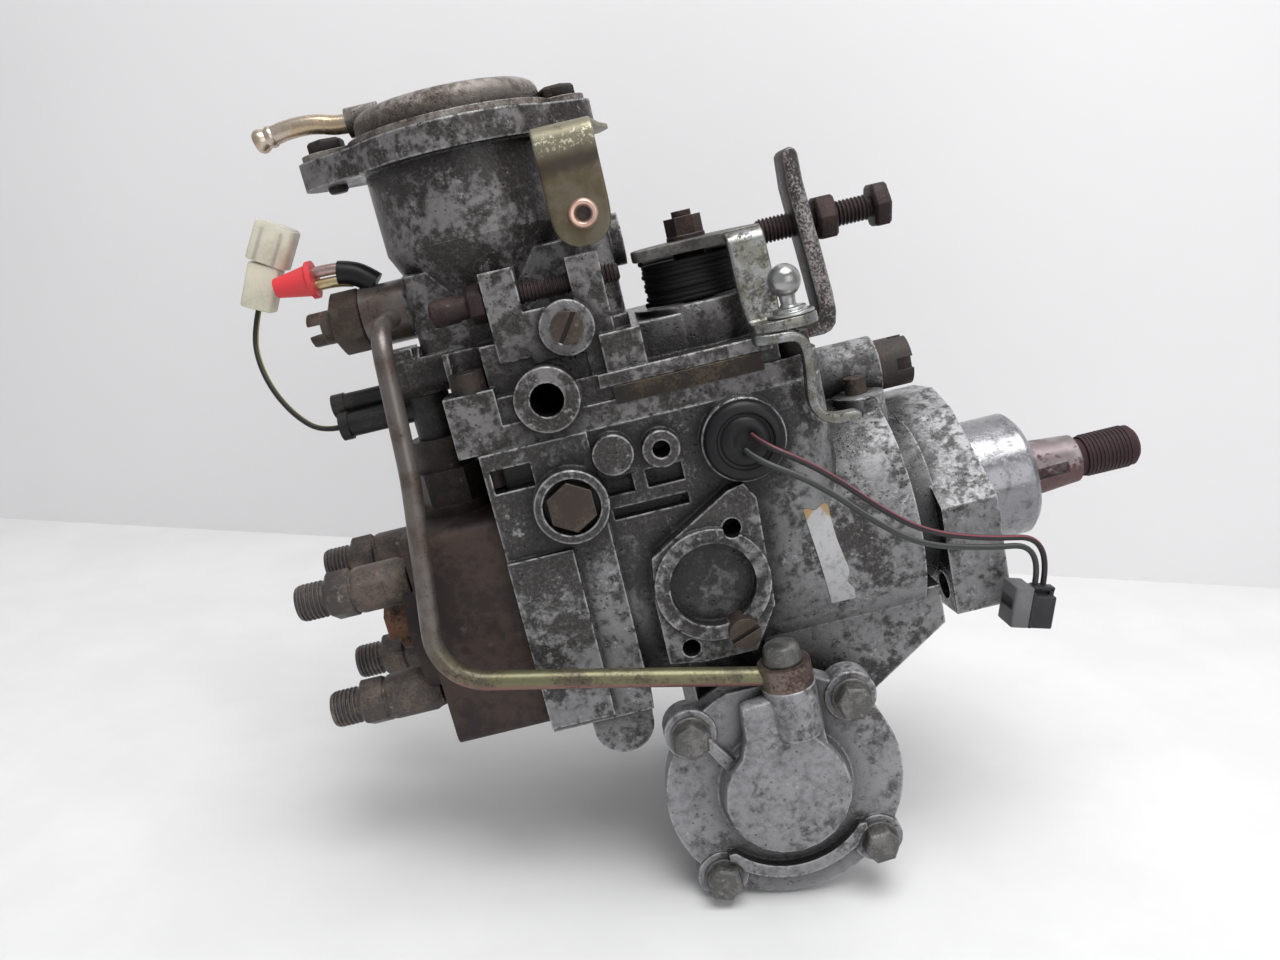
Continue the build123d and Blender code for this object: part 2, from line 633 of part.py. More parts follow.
def make_governor_lever():
    """The tension lever: pivot eye, fork round the governor shaft, spring hook and ball pin."""
    x0 = governor_lever_x - 1.5
    x1 = governor_lever_x + 1.5
    outline = [(-7, 15), (7, 15), (8, 44), (8, 58), (4, 68), (-8, 70), (-11, 76.5), (-17, 76.5), (-17, 71),
               (-8, 58), (-8, 44)]
    lever = slab_x(outline, x0, x1)
    lever += cyl_y(5.0, -7, 7, governor_lever_x, LEVER_PIVOT_Z)
    lever -= cyl_y(PIVOT_PIN_R + RUNNING_CLEARANCE, -10, 10, governor_lever_x, LEVER_PIVOT_Z)
    lever -= cyl_x(GOVERNOR_SHAFT_R + 1.2, x0 - 1, x1 + 1, 0, GOVERNOR_Z)
    lever += cyl_z(1.8, CONTROL_SLEEVE_R - 1, 16, governor_lever_x, 0)
    return lever


def make_control_sleeve():
    half = CONTROL_SLEEVE_L / 2
    sleeve = ring_x(CONTROL_SLEEVE_R, PLUNGER_R + RUNNING_CLEARANCE, governor_lever_x - half, governor_lever_x + half)
    return sleeve - cyl_z(2.5, PLUNGER_R + 1.5, CONTROL_SLEEVE_R + 1, governor_lever_x, 0)


def make_governor_shaft():
    """The governor's fixed shaft, and the pin that its lever turns on."""
    shaft = cyl_x(GOVERNOR_SHAFT_R, governor_lever_x - 6, chamber_x1 + 5.5, 0, GOVERNOR_Z)
    half = DECK_HALF_W - DECK_WALL
    return [shaft, cyl_y(PIVOT_PIN_R, -half, half, governor_lever_x, LEVER_PIVOT_Z)]


def make_governor_spring():
    x1 = LEVER_X - 6.8
    x0 = governor_lever_x + 1.6
    return spring_along(GOVERNOR_SPRING_R, 0.6, x1 - x0, 7, Pos(x1, LEVER_Y - 2.0, CRANK_Z + 4.2) * AGAINST_X)


def make_head():
    head = rounded_block(head_rear_x, HEAD_FACE_X, -HEAD_HALF_W, HEAD_HALF_W, HEAD_BOTTOM, HEAD_TOP, 4.0, Axis.X)
    head += cyl_x(HEAD_BOSS_R, head_boss_x, head_rear_x + 1)
    head += cyl_x(BORE_R - FIT_GAP, HEAD_FACE_X, spigot_x)
    head -= cyl_x(BARREL_R, head_boss_x + BARREL_SEAT, spigot_x + 1)
    head -= cyl_x(CENTRE_PLUG_R - 1.5, head_boss_x - 1, head_boss_x + BARREL_SEAT + 1)
    for y, z in holder_places():
        head -= cyl_x(HOLDER_SEAT_R, head_boss_x - 1, head_boss_x + 12, y, z)
    head -= cyl_z(SOLENOID_R - 3, HEAD_TOP - 10.5, HEAD_TOP + 1, SOLENOID_X, SOLENOID_Y)
    for y, z in HEAD_BOLTS:
        head -= cyl_x(M6_R + BOLT_SLACK, head_rear_x - 1, HEAD_FACE_X + 1, y, z)
        head -= cyl_x(SOCKET_HEAD_R + 0.6, head_rear_x - 1, head_rear_x + SOCKET_HEAD_H, y, z)
    return head


def make_delivery_valve(y, z):
    """A delivery valve holder: body, hexagon collar and threaded end with a cone for the pipe."""
    seat = head_boss_x
    end = seat - HOLDER_L
    holder = cyl_x(HOLDER_SEAT_R, seat, seat + 11, y, z)
    holder += cyl_x(HOLDER_R, seat - 16, seat, y, z)
    holder += hex_prism(HOLDER_HEX, 8.5, Pos(seat - 24, y, z) * ALONG_X)
    holder += cyl_x(HOLDER_THREAD_R, end, seat - 23, y, z)
    holder -= Pos(end + 1.5, y, z) * AGAINST_X * Cone(HOLDER_BORE_R, 4.2, 3)
    return holder - cyl_x(HOLDER_BORE_R, end, end + 9, y, z)


def make_centre_plug():
    plug = cyl_x(CENTRE_PLUG_R - 1.6, head_boss_x, head_boss_x + 11)
    plug += cyl_x(CENTRE_PLUG_R, head_boss_x - 9, head_boss_x)
    return plug + hex_prism(14, 4, Pos(head_boss_x - 13, 0, 0) * ALONG_X)


def make_barrel():
    x0 = head_boss_x + BARREL_SEAT
    return ring_x(BARREL_R - FIT_GAP, PLUNGER_R + RUNNING_CLEARANCE, x0, barrel_end_x)


def make_plunger():
    plunger = cyl_x(PLUNGER_R, head_boss_x + 18, cam_back_x)
    return plunger + cyl_x(9.0, cam_back_x - 2.0, cam_back_x)


def make_plunger_springs():
    length = cam_back_x - 0.4 - spigot_x
    springs = []
    for side in (-1, 1):
        start = Pos(spigot_x, side * PLUNGER_SPRING_Y, 0) * ALONG_X
        springs.append(spring_along(PLUNGER_SPRING_R, PLUNGER_SPRING_WIRE, length, 7, start, 8))
    return springs


def make_solenoid():
    """The fuel cut-off solenoid: flange, hexagon, can and terminal."""
    place = Pos(SOLENOID_X, SOLENOID_Y, HEAD_TOP)
    body = place * Pos(0, 0, -5) * Cylinder(SOLENOID_R - 3, 10)
    body += place * Pos(0, 0, 1.5) * Cylinder(SOLENOID_R + 1, 3)
    body += hex_prism(2 * SOLENOID_R - 1, 11, place * Pos(0, 0, 3))
    body += place * Pos(0, 0, 19) * Cylinder(SOLENOID_R - 2, 10)
    return body + place * Pos(0, 0, 25) * Cylinder(3.0, 4)


def make_boots():
    """The rubber cap on the solenoid's terminal, with the two boots that lead off to the rear."""
    base = HEAD_TOP + 24.0
    boots = cyl_z(6.5, base, BOOT_Z + BOOT_R + 0.5, SOLENOID_X, SOLENOID_Y)
    boots += cyl_x(BOOT_R, BOOT_END_X, SOLENOID_X, SOLENOID_Y, BOOT_Z)
    boots += cyl_x(BOOT_R + 0.7, BOOT_END_X, BOOT_END_X + 3, SOLENOID_Y, BOOT_Z)
    top_y = SOLENOID_Y + 5.5
    boots += cyl_x(BOOT_R - 0.4, BOOT_END_X - 2, SOLENOID_X, top_y, BOOT_Z + 6.2)
    boots += cyl_x(BOOT_R, BOOT_END_X - 2, BOOT_END_X + 2, top_y, BOOT_Z + 6.2)
    return boots - cyl_z(3.0, base - 1, base + 3, SOLENOID_X, SOLENOID_Y)


def make_governor_cover():
    """The cover: a flanged box with the inlet boss, screw lugs and the lever shaft's boss."""
    w = DECK_HALF_W
    cover = deck_block(COVER_REAR_X, DECK_FRONT_X, DECK_TOP, COVER_FLANGE_TOP)
    cover += block(HEAD_FACE_X, -59, -w + 1, w - 1, COVER_FLANGE_TOP, COVER_LEDGE_Z)
    cover += block(-59, -50, -26, 26, COVER_FLANGE_TOP, COVER_LEDGE_Z)
    cover += rounded_block(HEAD_FACE_X, -99, -w + 4, w - 4, COVER_LEDGE_Z, COVER_REAR_TOP, 6.0)
    cover += block(-99, -84, -w + 8, w - 6, COVER_LEDGE_Z, 82)
    cover += rounded_block(-92, -53, -20.5, 30, COVER_LEDGE_Z, 81, 4.0)
    cover += cyl_z(LEVER_BOSS_R, COVER_LEDGE_Z, LEVER_BOSS_TOP, LEVER_X, LEVER_Y)
    # Ledge along the near side, with the slope above it
    cover += block(-112, -61, -w - 1, -w + 2, 67, COVER_LEDGE_Z)
    cover += block(-109, -97, -w, -w + 8, COVER_LEDGE_Z, 82)
    # Bolt pads at the rear and the stub that faces backwards
    for side in (-1, 1):
        cover += block(-157, -142, min(side * w, side * (w - 15)), max(side * w, side * (w - 15)), DECK_TOP, 74)
    cover += block(-155, -140, -w + 8, -w + 24, 70, COVER_REAR_TOP)
    cover += cyl_x(7.5, -176, -150, *REAR_STUB) - block(-163.2, -149, -30, 0, COMP_BASE, 95)
    cover += block(-174, -165, -20, -8, 84, 89.5)
    # Fuel inlet boss
    cover += cyl_y(9.5, -44, -30, *INLET)
    # Lugs of the idle screw and the seat of the slotted screw
    cover += block(-138.5, -128.5, -36, -26, 80, 106)
    cover += block(-113.5, -104.0, -36, -24, 66, 105)
    cover += block(-129, -113, -36, -26, 78, 93)
    cover += cyl_y(8.0, -38, -30, *SLOT_SCREW)
    # Hollow inside, kept clear of the governor
    wall = DECK_HALF_W - DECK_WALL - 1.0
    cover -= block(chamber_x0, chamber_x1, -wall, wall, DECK_TOP - 1, 66)
    cover -= block(chamber_x0, -88, -wall, wall, 60, COVER_ROOM_TOP)
    cover -= block(-89, chamber_x1, -18, 27, 60, COVER_ROOM_TOP)
    cover -= cyl_y(INLET_R, -45, -24, *INLET)
    cover -= cyl_y(SLOT_SCREW_R, -39, -28, *SLOT_SCREW)
    cover -= cyl_x(M6_R, -140, -102, IDLE_Y, IDLE_Z)
    cover -= cyl_z(LEVER_SHAFT_R + RUNNING_CLEARANCE, COVER_LEDGE_Z, LEVER_BOSS_TOP + 1, LEVER_X, LEVER_Y)
    for x, y, seat in COVER_BOLTS:
        cover -= cyl_z(M6_R + BOLT_SLACK, DECK_TOP - 1, seat + 1, x, y)
        cover -= cyl_z(SOCKET_HEAD_R + 0.6, seat, COMP_BASE + 5, x, y)
    return cover


def make_gasket_plate():
    y = -DECK_HALF_W
    plate = block(-108.5, -64.5, y - 1.4, y, 61.5, 66.8)
    return plate + block(-108.5, -64.5, y - 1, y + 1, COVER_FLANGE_TOP, 66.8)


def make_compensator_body():
    body = cyl_z(CUP_R, 117, COMP_FLANGE_Z + 1, CUP_X, 0)
    body += Pos(CUP_X, 0, 109) * Cone(22, CUP_R, 16)
    body += rounded_block(-163, -99, -20, 20, COMP_BASE, 110, 6.0)
    body += cyl_x(10.0, eye_x1, -150, BARREL_Y, BARREL_Z)
    # Flange with its two ears
    ears = [Pos(COMP_X + side * COMP_EAR, 0) * Circle(9.5) for side in (-1, 1)]
    sketch = make_hull((Sketch() + [Pos(CUP_X, 0) * Circle(COMP_FLANGE_R - 3)] + ears).edges())
    body += extrude(Plane.XY.offset(COMP_FLANGE_Z) * sketch, amount=COMP_FLANGE_T)
    body += cyl_z(COMP_FLANGE_R, COMP_FLANGE_Z, cap_base, CUP_X, 0)
    body += cyl_x(8.0, -99, -95, -6, 106.5)
    # Diaphragm chamber, guide bore and threaded holes
    body -= cyl_z(COMP_CAP_R - 3, 126, cap_base + 1, CUP_X, 0)
    body -= cyl_z(10.0, 100, 127, CUP_X, 0)
    body -= cyl_x(BANJO_BOLT_R, eye_x1 - 1, -155, BARREL_Y, BARREL_Z)
    for side in (-1, 1):
        body -= cyl_z(M6_R, COMP_FLANGE_Z - 1, cap_base + 1, COMP_X + side * COMP_EAR, 0)
    return body


def make_compensator_cap():
    cap = cyl_z(COMP_CAP_R + 3, cap_base, cap_base + 2, CUP_X, 0)
    for side in (-1, 1):
        x = COMP_X + side * COMP_EAR
        cap += cyl_z(8.0, cap_base, cap_base + 2, x, 0)
        cap += block(CUP_X, x, -8, 8, cap_base, cap_base + 2)
    dome = cyl_z(COMP_CAP_R, cap_base, cap_base + COMP_CAP_H, CUP_X, 0)
    cap += fillet(dome.edges().filter_by(GeomType.CIRCLE).sort_by(Axis.Z)[-1], 4.0)
    cap += cyl_x(4.4, CUP_X - 30, CUP_X - 20, 0, NIPPLE_Z)
    cap -= cyl_z(COMP_CAP_R - 3, cap_base - 1, cap_base + COMP_CAP_H - 3, CUP_X, 0)
    for side in (-1, 1):
        cap -= cyl_z(M6_R + 0.2, cap_base - 1, cap_base + 3, COMP_X + side * COMP_EAR, 0)
    return cap


def hex_bolt(radius, across, head_t, length, place):
    """A hexagon bolt: the place is the head's seat, with the shank going down its -Z."""
    return place * Pos(0, 0, -length / 2) * Cylinder(radius, length) + hex_prism(across, head_t, place)


def make_hexagon_bolts():
    bolts = []
    for side in (-1, 1):
        place = Pos(COMP_X + side * COMP_EAR, 0, cap_base + 2) * Rot(0, 0, 30)
        bolts.append(hex_bolt(M6_R, M6_HEX, 4.0, COMP_FLANGE_T + 2.0, place))
    for x, z in timer_bolt_places():
        place = Pos(x, timer_bolt_seat, z) * TOWARDS_CAMERA
        washer = place * Pos(0, 0, 0.7) * Cylinder(6.2, 1.4)
        bolts.append(washer + hex_bolt(M6_R, M6_HEX, 5.0, TIMER_COVER_T + 7.4, place * Pos(0, 0, 1.4)))
    return bolts


def make_socket_bolts():
    bolts = []
    for x, y, seat in COVER_BOLTS:
        bolt = cyl_z(M6_R, DECK_TOP - 11, seat, x, y)
        bolt += cyl_z(SOCKET_HEAD_R, seat, seat + SOCKET_HEAD_H, x, y)
        bolts.append(bolt - hex_prism(SOCKET_HEX, 3.1, Pos(x, y, seat + 3)))
    for y, z in HEAD_BOLTS:
        bolt = cyl_x(M6_R, head_rear_x + 6, HEAD_FACE_X + 11, y, z)
        bolt += cyl_x(SOCKET_HEAD_R, head_rear_x, head_rear_x + SOCKET_HEAD_H, y, z)
        bolts.append(bolt - hex_prism(SOCKET_HEX, 3, Pos(head_rear_x, y, z) * ALONG_X))
    return bolts


def make_nipple():
    points = [(CUP_X - 30, 0, NIPPLE_Z), (CUP_X - 33, 0, NIPPLE_Z), (-181.0, 0, 160.9), (-193.5, 0, 158.9)]
    nipple = tube(points, [4, 18], PIPE_R)
    return nipple + Pos(-193.5, 0, 158.9) * Sphere(PIPE_R + 0.8)


def make_strap():
    """The bracket that hangs from under the flange on the cap's right-hand bolt."""
    outline = [(-114.8, 112), (-114.8, 141), (-97.5, 141), (-97.5, 112), (-101, 108.2), (-106, 106.6), (-111, 108.2)]
    strap = slab_y(outline, STRAP_Y - STRAP_T, STRAP_Y)
    low = COMP_FLANGE_Z - STRAP_T
    strap += slab_z([(-114.8, -36), (-114.8, -18), (-108, -12), (-108, 8), (-94, 8), (-91, 0), (-94, -10), (-97.5, -36)],
                    low, COMP_FLANGE_Z)
    strap += cyl_y(4.2, STRAP_Y - STRAP_T - 1.6, STRAP_Y, -105.3, 115.5)
    strap -= cyl_y(2.4, STRAP_Y - 5, STRAP_Y + 1, -105.3, 115.5)
    return strap - cyl_z(M6_R + BOLT_SLACK, low - 1, COMP_FLANGE_Z + 1, COMP_X + COMP_EAR, 0)


def make_idle_screw():
    screw = cyl_x(M6_R, -155, -99, IDLE_Y, IDLE_Z)
    screw += hex_prism(M6_HEX, 5, Pos(-143.5, IDLE_Y, IDLE_Z) * ALONG_X)
    return screw + cyl_x(4.0, -155, -143.5, IDLE_Y, IDLE_Z)


def slotted_screw(radius, y0, y1, x, z, turn):
    """A slotted plug that faces the camera."""
    screw = cyl_y(radius, y0, y1, x, z)
    return screw - Pos(x, y0, z) * Rot(0, turn, 0) * Box(1.4, 2.6, 2 * radius + 2)


def make_slotted_screws():
    seat = slotted_screw(SLOT_SCREW_R, -39, -28.5, *SLOT_SCREW, 35)
    plug = slotted_screw(SLOT_SCREW_R, PAD_Y - 5, PAD_Y + 8.9, *SLOT_PLUG, 70)
    x, y, z = ADJUSTER
    adjuster = cyl_z(3.5, z, z + 5.5, x, y + 1)
    adjuster -= block(x - 5, x + 5, y + 0.4, y + 1.6, z + 4, z + 6)
    return [seat, plug, adjuster]


def make_lever_shaft():
    """The throttle lever's shaft with its nut: the crank below pulls the governor spring."""
    shaft = cyl_z(LEVER_SHAFT_R, CRANK_Z, LEVER_Z, LEVER_X, LEVER_Y)
    shaft += cyl_z(M6_R, LEVER_Z, LEVER_Z + 12, LEVER_X, LEVER_Y)
    shaft += block(LEVER_X - 6, LEVER_X + 3, LEVER_Y - 2.5, LEVER_Y + 2.5, CRANK_Z, CRANK_Z + 4)
    nut = cyl_z(6.0, lever_top, lever_top + 1.2, LEVER_X, LEVER_Y)
    nut += hex_prism(M6_HEX, 5.5, Pos(LEVER_X, LEVER_Y, lever_top + 1.2))
    return [shaft, nut - cyl_z(M6_R, lever_top - 1, lever_top + 9, LEVER_X, LEVER_Y)]


def make_throttle_lever():
    """The lever plate, its bent-down tab, the arm with the ball stud, and the arm's hanging foot."""
    outline = [(-94, -27), (-86, -27), (-78, -29), (-68, -36), (-68, -39.5), (-57, -39.5), (-56.5, -28), (-62, -12),
               (-66, -5), (-74, -2), (-83, -3), (-89, -9), (-94.5, -22)]
    lever = slab_z(outline, LEVER_Z, lever_top)
    lever += slab_y([(-68, lever_top), (-57, lever_top), (-56.5, 83), (-58, LEVER_ARM_Z), (-66.5, LEVER_ARM_Z),
                     (-67.5, 85)], -39.5, -36)
    arm = [(-66.5, -45), (-62, -47), (-52, -47), (-47, -43), (-47, -34), (-51, -31), (-56, -33), (-58, -36),
           (-66.5, -36)]
    arm_top = LEVER_ARM_Z + 3
    lever += slab_z(arm, LEVER_ARM_Z, arm_top)
    lever += slab_y([(-56, arm_top), (-49.5, arm_top), (-49.5, 62), (-50.5, 46), (-50, 42), (-55, 42), (-56, 52)], -46, -42)
    lever += block(-51, -40, -47, -42, 42, 45)
    lever -= cyl_z(M6_R, LEVER_Z - 1, lever_top + 1, LEVER_X, LEVER_Y)
    lever -= cyl_z(2.6, LEVER_ARM_Z - 1, arm_top + 1, BALL[0], BALL[1])
    stud = cyl_z(2.6, LEVER_ARM_Z - 0.5, BALL[2], BALL[0], BALL[1])
    stud += cyl_z(7.0, arm_top, arm_top + 1.2, BALL[0], BALL[1])
    stud += cyl_z(5.0, arm_top + 1.2, arm_top + 2.5, BALL[0], BALL[1])
    return [lever, stud + Pos(*BALL) * Sphere(BALL_R)]


def make_return_spring():
    length = LEVER_Z - 0.3 - LEVER_BOSS_TOP
    return spring_along(RETURN_SPRING_R, 0.85, length, 7, Pos(LEVER_X, LEVER_Y, LEVER_BOSS_TOP))


def make_stop_bar():
    """The bent flat bar that carries the maximum-speed screw."""
    seat = COVER_FLANGE_TOP
    outer = [(-41.5, 121), (-37, 121.5), (-36.8, 111), (-33.5, 75), (-34, 66), (-37, seat), (-49.8, seat),
             (-49.8, seat + STOP_BAR_T), (-40.5, seat + STOP_BAR_T), (-39, 70), (-42.3, 110)]
    bar = slab_y(outer, STOP_BAR_Y - 7, STOP_BAR_Y + 7)
    return bar - cyl_x(MAX_SCREW_R, -50, -25, STOP_BAR_Y, MAX_SCREW_Z)


def make_max_screw():
    screw = cyl_x(MAX_SCREW_R, -53, -16, STOP_BAR_Y, MAX_SCREW_Z)
    turn = Rot(0, 0, 30)
    screw += hex_prism(MAX_SCREW_HEX, 5.5, Pos(-16, STOP_BAR_Y, MAX_SCREW_Z) * ALONG_X * turn)
    nut = hex_prism(MAX_SCREW_HEX, 6.5, Pos(-34.2, STOP_BAR_Y, MAX_SCREW_Z) * ALONG_X * turn)
    return [screw, nut - cyl_x(MAX_SCREW_R, -40, -25, STOP_BAR_Y, MAX_SCREW_Z)]


def make_timer_cover():
    """The round timer cover: flange with four lugs, raised channel and centre circle."""
    y0 = timer_cover_y
    cover = cyl_y(TIMER_COVER_R, y0, TIMER_NEAR_Y, TIMER_X, TIMER_Z)
    for x, z in timer_bolt_places():
        cover += cyl_y(8.0, timer_bolt_seat, TIMER_NEAR_Y, x, z)
    cover += Pos(TIMER_X, y0 - 2.5, TIMER_Z) * TOWARDS_CAMERA * Cone(21, 18, 5)
    cover += slab_y([(-90, -36), (-71, -33), (-70, -55), (-66, -60), (-102, -62), (-100, -55), (-94, -50)], y0 - 4, y0 + 1)
    boss_top = LOW_BANJO[2] - LOW_EYE_H / 2
    cover += cyl_z(8.2, -46, boss_top, LOW_BANJO[0], LOW_BANJO[1])
    # Rib along the lower rim
    rim = TIMER_COVER_R - 7
    rib = cyl_y(rim, y0 - 3, y0 + 1, TIMER_X, TIMER_Z) - cyl_y(rim - 4, y0 - 4, y0 + 2, TIMER_X, TIMER_Z)
    cover += rib & block(TIMER_X - 22, TIMER_X + 22, y0 - 4, y0 + 2, TIMER_Z - rim - 1, TIMER_Z - 17)
    cover -= cyl_y(TIMER_BORE_R, y0 + 3, TIMER_NEAR_Y + 1, TIMER_X, TIMER_Z)
    for x, z in timer_bolt_places():
        cover -= cyl_y(M6_R + BOLT_SLACK, y0 - 5, TIMER_NEAR_Y + 1, x, z)
        cover -= cyl_y(6.6, y0 - 15, timer_bolt_seat, x, z)
    cover -= cyl_z(LOW_EYE_R + 0.3, boss_top, boss_top + 10, LOW_BANJO[0], LOW_BANJO[1])
    cover -= block(LOW_BANJO[0] - 24, LOW_BANJO[0], LOW_BANJO[1] - 3.3, LOW_BANJO[1] + 3.3, boss_top, boss_top + 6)
    return cover - cyl_z(BANJO_BOLT_R, boss_top - 11, boss_top + 1, LOW_BANJO[0], LOW_BANJO[1])


def make_timer_end_cover():
    y1 = TIMER_FAR_Y + 6
    half = TIMER_BLOCK_R
    plate = block(TIMER_X - half, TIMER_X + half, TIMER_FAR_Y, y1, TIMER_Z - half, TIMER_Z + half)
    plate = chamfer(plate.edges().filter_by(Axis.Y), 4.0)
    plate += cyl_y(15.0, y1 - 1, y1 + 4, TIMER_X, TIMER_Z)
    for sx in (-1, 1):
        for sz in (-1, 1):
            place = Pos(TIMER_X + sx * 18, y1, TIMER_Z + sz * 18) * AWAY_FROM_CAMERA
            plate += hex_prism(M6_HEX, 4.5, place)
    return plate - cyl_y(TIMER_BORE_R - 2, TIMER_FAR_Y - 1, y1, TIMER_X, TIMER_Z)


def make_timer_piston():
    half = TIMER_PISTON_L / 2
    piston = cyl_y(TIMER_BORE_R - RUNNING_CLEARANCE, -half, half, TIMER_X, TIMER_Z)
    piston -= cyl_z(SLIDE_PIN_R + 1.9, TIMER_Z - 6, TIMER_Z + 20, SLIDE_PIN_X, 0)
    return piston - cyl_y(TIMER_BORE_R - 4, half - 10, half + 1, TIMER_X, TIMER_Z)


def make_timer_spring():
    start = TIMER_PISTON_L / 2 - 9.8
    place = Pos(TIMER_X, start, TIMER_Z) * AWAY_FROM_CAMERA
    return spring_along(TIMER_SPRING_R, TIMER_SPRING_WIRE, TIMER_FAR_Y + 5.8 - start, 5, place)


def make_timer_pipe():
    """The steel pipe from the top banjo down the head and along to the timer cover."""
    start_y = TOP_BANJO[1] - TOP_EYE_R + 2.0
    low_x, low_y, low_z = LOW_BANJO
    points = [(-169.3, start_y, 99.0), (-168.8, -40.0, 97.5), (-170.2, -47.0, 56.0), (-179.0, -49.5, -5.0),
              (-130.0, -51.5, -15.6), (low_x - LOW_EYE_R + 2, low_y, low_z)]
    pipe = tube(points, [12, 60, 16, 60], PIPE_R)
    pipe += cyl_x(TOP_EYE_R, eye_x0, eye_x1, TOP_BANJO[1], TOP_BANJO[2])
    pipe += cyl_z(LOW_EYE_R, low_z - LOW_EYE_H / 2, low_z + LOW_EYE_H / 2, low_x, low_y)
    pipe -= cyl_x(BANJO_BOLT_R + 0.5, eye_x0 - 1, eye_x1 + 1, TOP_BANJO[1], TOP_BANJO[2])
    return pipe - cyl_z(BANJO_BOLT_R + 0.5, low_z - 9, low_z + 9, low_x, low_y)


def make_banjo_bolts():
    y, z = TOP_BANJO[1], TOP_BANJO[2]
    top = cyl_x(BANJO_BOLT_R, eye_x0, eye_x1 + 8, y, z)
    top += hex_prism(17, 10, Pos(eye_x0 - 10, y, z) * ALONG_X)
    stud = cyl_x(5.3, eye_x0 - 18, eye_x0 - 10, y, z)
    stud -= block(eye_x0 - 19, eye_x0 - 14, y - 8, y + 8, z - 1.4, z + 1.4)
    head_z = LOW_BANJO[2] + LOW_EYE_H / 2
    low = cyl_z(BANJO_BOLT_R, head_z - LOW_EYE_H - 10, head_z, LOW_BANJO[0], LOW_BANJO[1])
    head = cyl_z(6.3, head_z, head_z + 6.3, LOW_BANJO[0], LOW_BANJO[1])
    low += chamfer(head.edges().filter_by(GeomType.CIRCLE).sort_by(Axis.Z)[-1], 1.8)
    return [top + stud, low]


def make_leak_tubes():
    """A black sleeve on the top eye, and two thin tubes from it to a plastic cap."""
    y = TOP_BANJO[1]
    sleeve = Pos(-176.8, y, 113.4) * Rot(0, 115, 0) * Cylinder(4.0, 10, align=(Align.CENTER, Align.CENTER, Align.MIN))
    sleeve -= cyl_x(TOP_EYE_R, eye_x0 - 4, eye_x1, y, TOP_BANJO[2])
    solids = [sleeve & block(eye_x0, eye_x1 - 0.5, y - 8, y + 8, TOP_BANJO[2] + 6, 120)]
    for side in (-1, 1):
        start = (-176.8 + side * 0.82, y, 113.4 + side * 1.77)
        bend = (-181.5 + side * 0.43, y, TUBE_Z + side * 1.95)
        solids.append(tube([start, bend, (-190.2, y, TUBE_Z + side * 1.95)], [12], 1.75))
    return solids


def make_tube_cap():
    outline = [(0, 0), (5.8, 0), (5.8, 1.6), (4.8, 2.2), (3.0, 12.5), (0, 12.5)]
    return turned(outline, Pos(-190.2, TOP_BANJO[1], TUBE_Z) * AGAINST_X)


def tilted(centre, tilt, size):
    """A block leant over about Y by the tilt."""
    return Pos(*centre) * Rot(0, tilt, 0) * Box(*size)


def foot_of(centre, tilt, height, along=0.0):
    """The middle of a leant block's lower face, or a place further down its axis."""
    reach = height / 2 + along
    lean = math.radians(tilt)
    return (centre[0] - reach * math.sin(lean), centre[1], centre[2] - reach * math.cos(lean))


def solenoid_wire_route():
    x, y, z = BOOT_END_X, SOLENOID_Y, BOOT_Z
    end = foot_of(NYLON_LOW, NYLON_LOW_TILT, NYLON_LOW_SIZE[2])
    before = foot_of(NYLON_LOW, NYLON_LOW_TILT, NYLON_LOW_SIZE[2], 8.0)
    return [(x, y, z), (x - 6.5, y, z), (-208.4, -7.4, 76.4), (-213.6, -5.0, 86.0), (-216.2, -1.0, 95.5), before, end]


def sensor_wire_route(exit_place, spread, drop, plug_x, rise):
    """From the grommet, along the near side and down into the connector's upper face."""
    x, z = exit_place
    lean = math.radians(SENSOR_PLUG_TILT)
    face = (SENSOR_PLUG[0] + plug_x * math.cos(lean), SENSOR_PLUG[1], SENSOR_PLUG[2] - plug_x * math.sin(lean))
    above = foot_of(face, 180 + SENSOR_PLUG_TILT, SENSOR_PLUG_SIZE[2], rise)
    end = foot_of(face, 180 + SENSOR_PLUG_TILT, SENSOR_PLUG_SIZE[2])
    return [(x, WIRE_EXIT_Y, z), (x, -58.4, z), (-57.5 - spread, -60.4, 34.0 - drop),
            (-42.0 - spread, -57.2, 17.0 - drop), (-29.0 - spread, -51.7, 5.5 - drop),
            (-10.0 - spread / 2, -45.2, -3.2 - 0.8 * drop), above, end]


def make_white_connector():
    low = tilted(NYLON_LOW, NYLON_LOW_TILT, NYLON_LOW_SIZE)
    return low + tilted(NYLON_TOP, NYLON_TOP_TILT, NYLON_TOP_SIZE)


def make_grommet():
    seat = -REAR_HALF_W - 3
    return cyl_y(GROMMET_R, seat - 3.5, seat, *GROMMET) + cyl_y(6.8, seat, seat + 8, *GROMMET)


def make_valve():
    valve = cyl_x(VALVE_R - 2.05, VALVE_X - 15, VALVE_X, VALVE_Y, VALVE_Z)
    valve += cyl_x(VALVE_R, VALVE_X, VALVE_X + 11.5, VALVE_Y, VALVE_Z)
    cut = block(VALVE_X + 6, VALVE_X + 12, -2, 2, VALVE_R - 2.5, VALVE_R + 1)
    for notch in quarter_turns(cut):
        valve -= Pos(0, VALVE_Y, VALVE_Z) * notch
    return valve


def make_hex_plug():
    seat = -REAR_HALF_W - 1
    plug = cyl_y(PLUG_THREAD_R, seat, seat + 9, *PLUG)
    return plug + hex_prism(PLUG_HEX, 5.5, Pos(PLUG[0], seat, PLUG[1]) * TOWARDS_CAMERA * Rot(0, 0, 30))


def make_shaft_bush():
    return ring_x(bush_r, JOURNAL_R + RUNNING_CLEARANCE, BORE_FRONT, seal_x - 1)


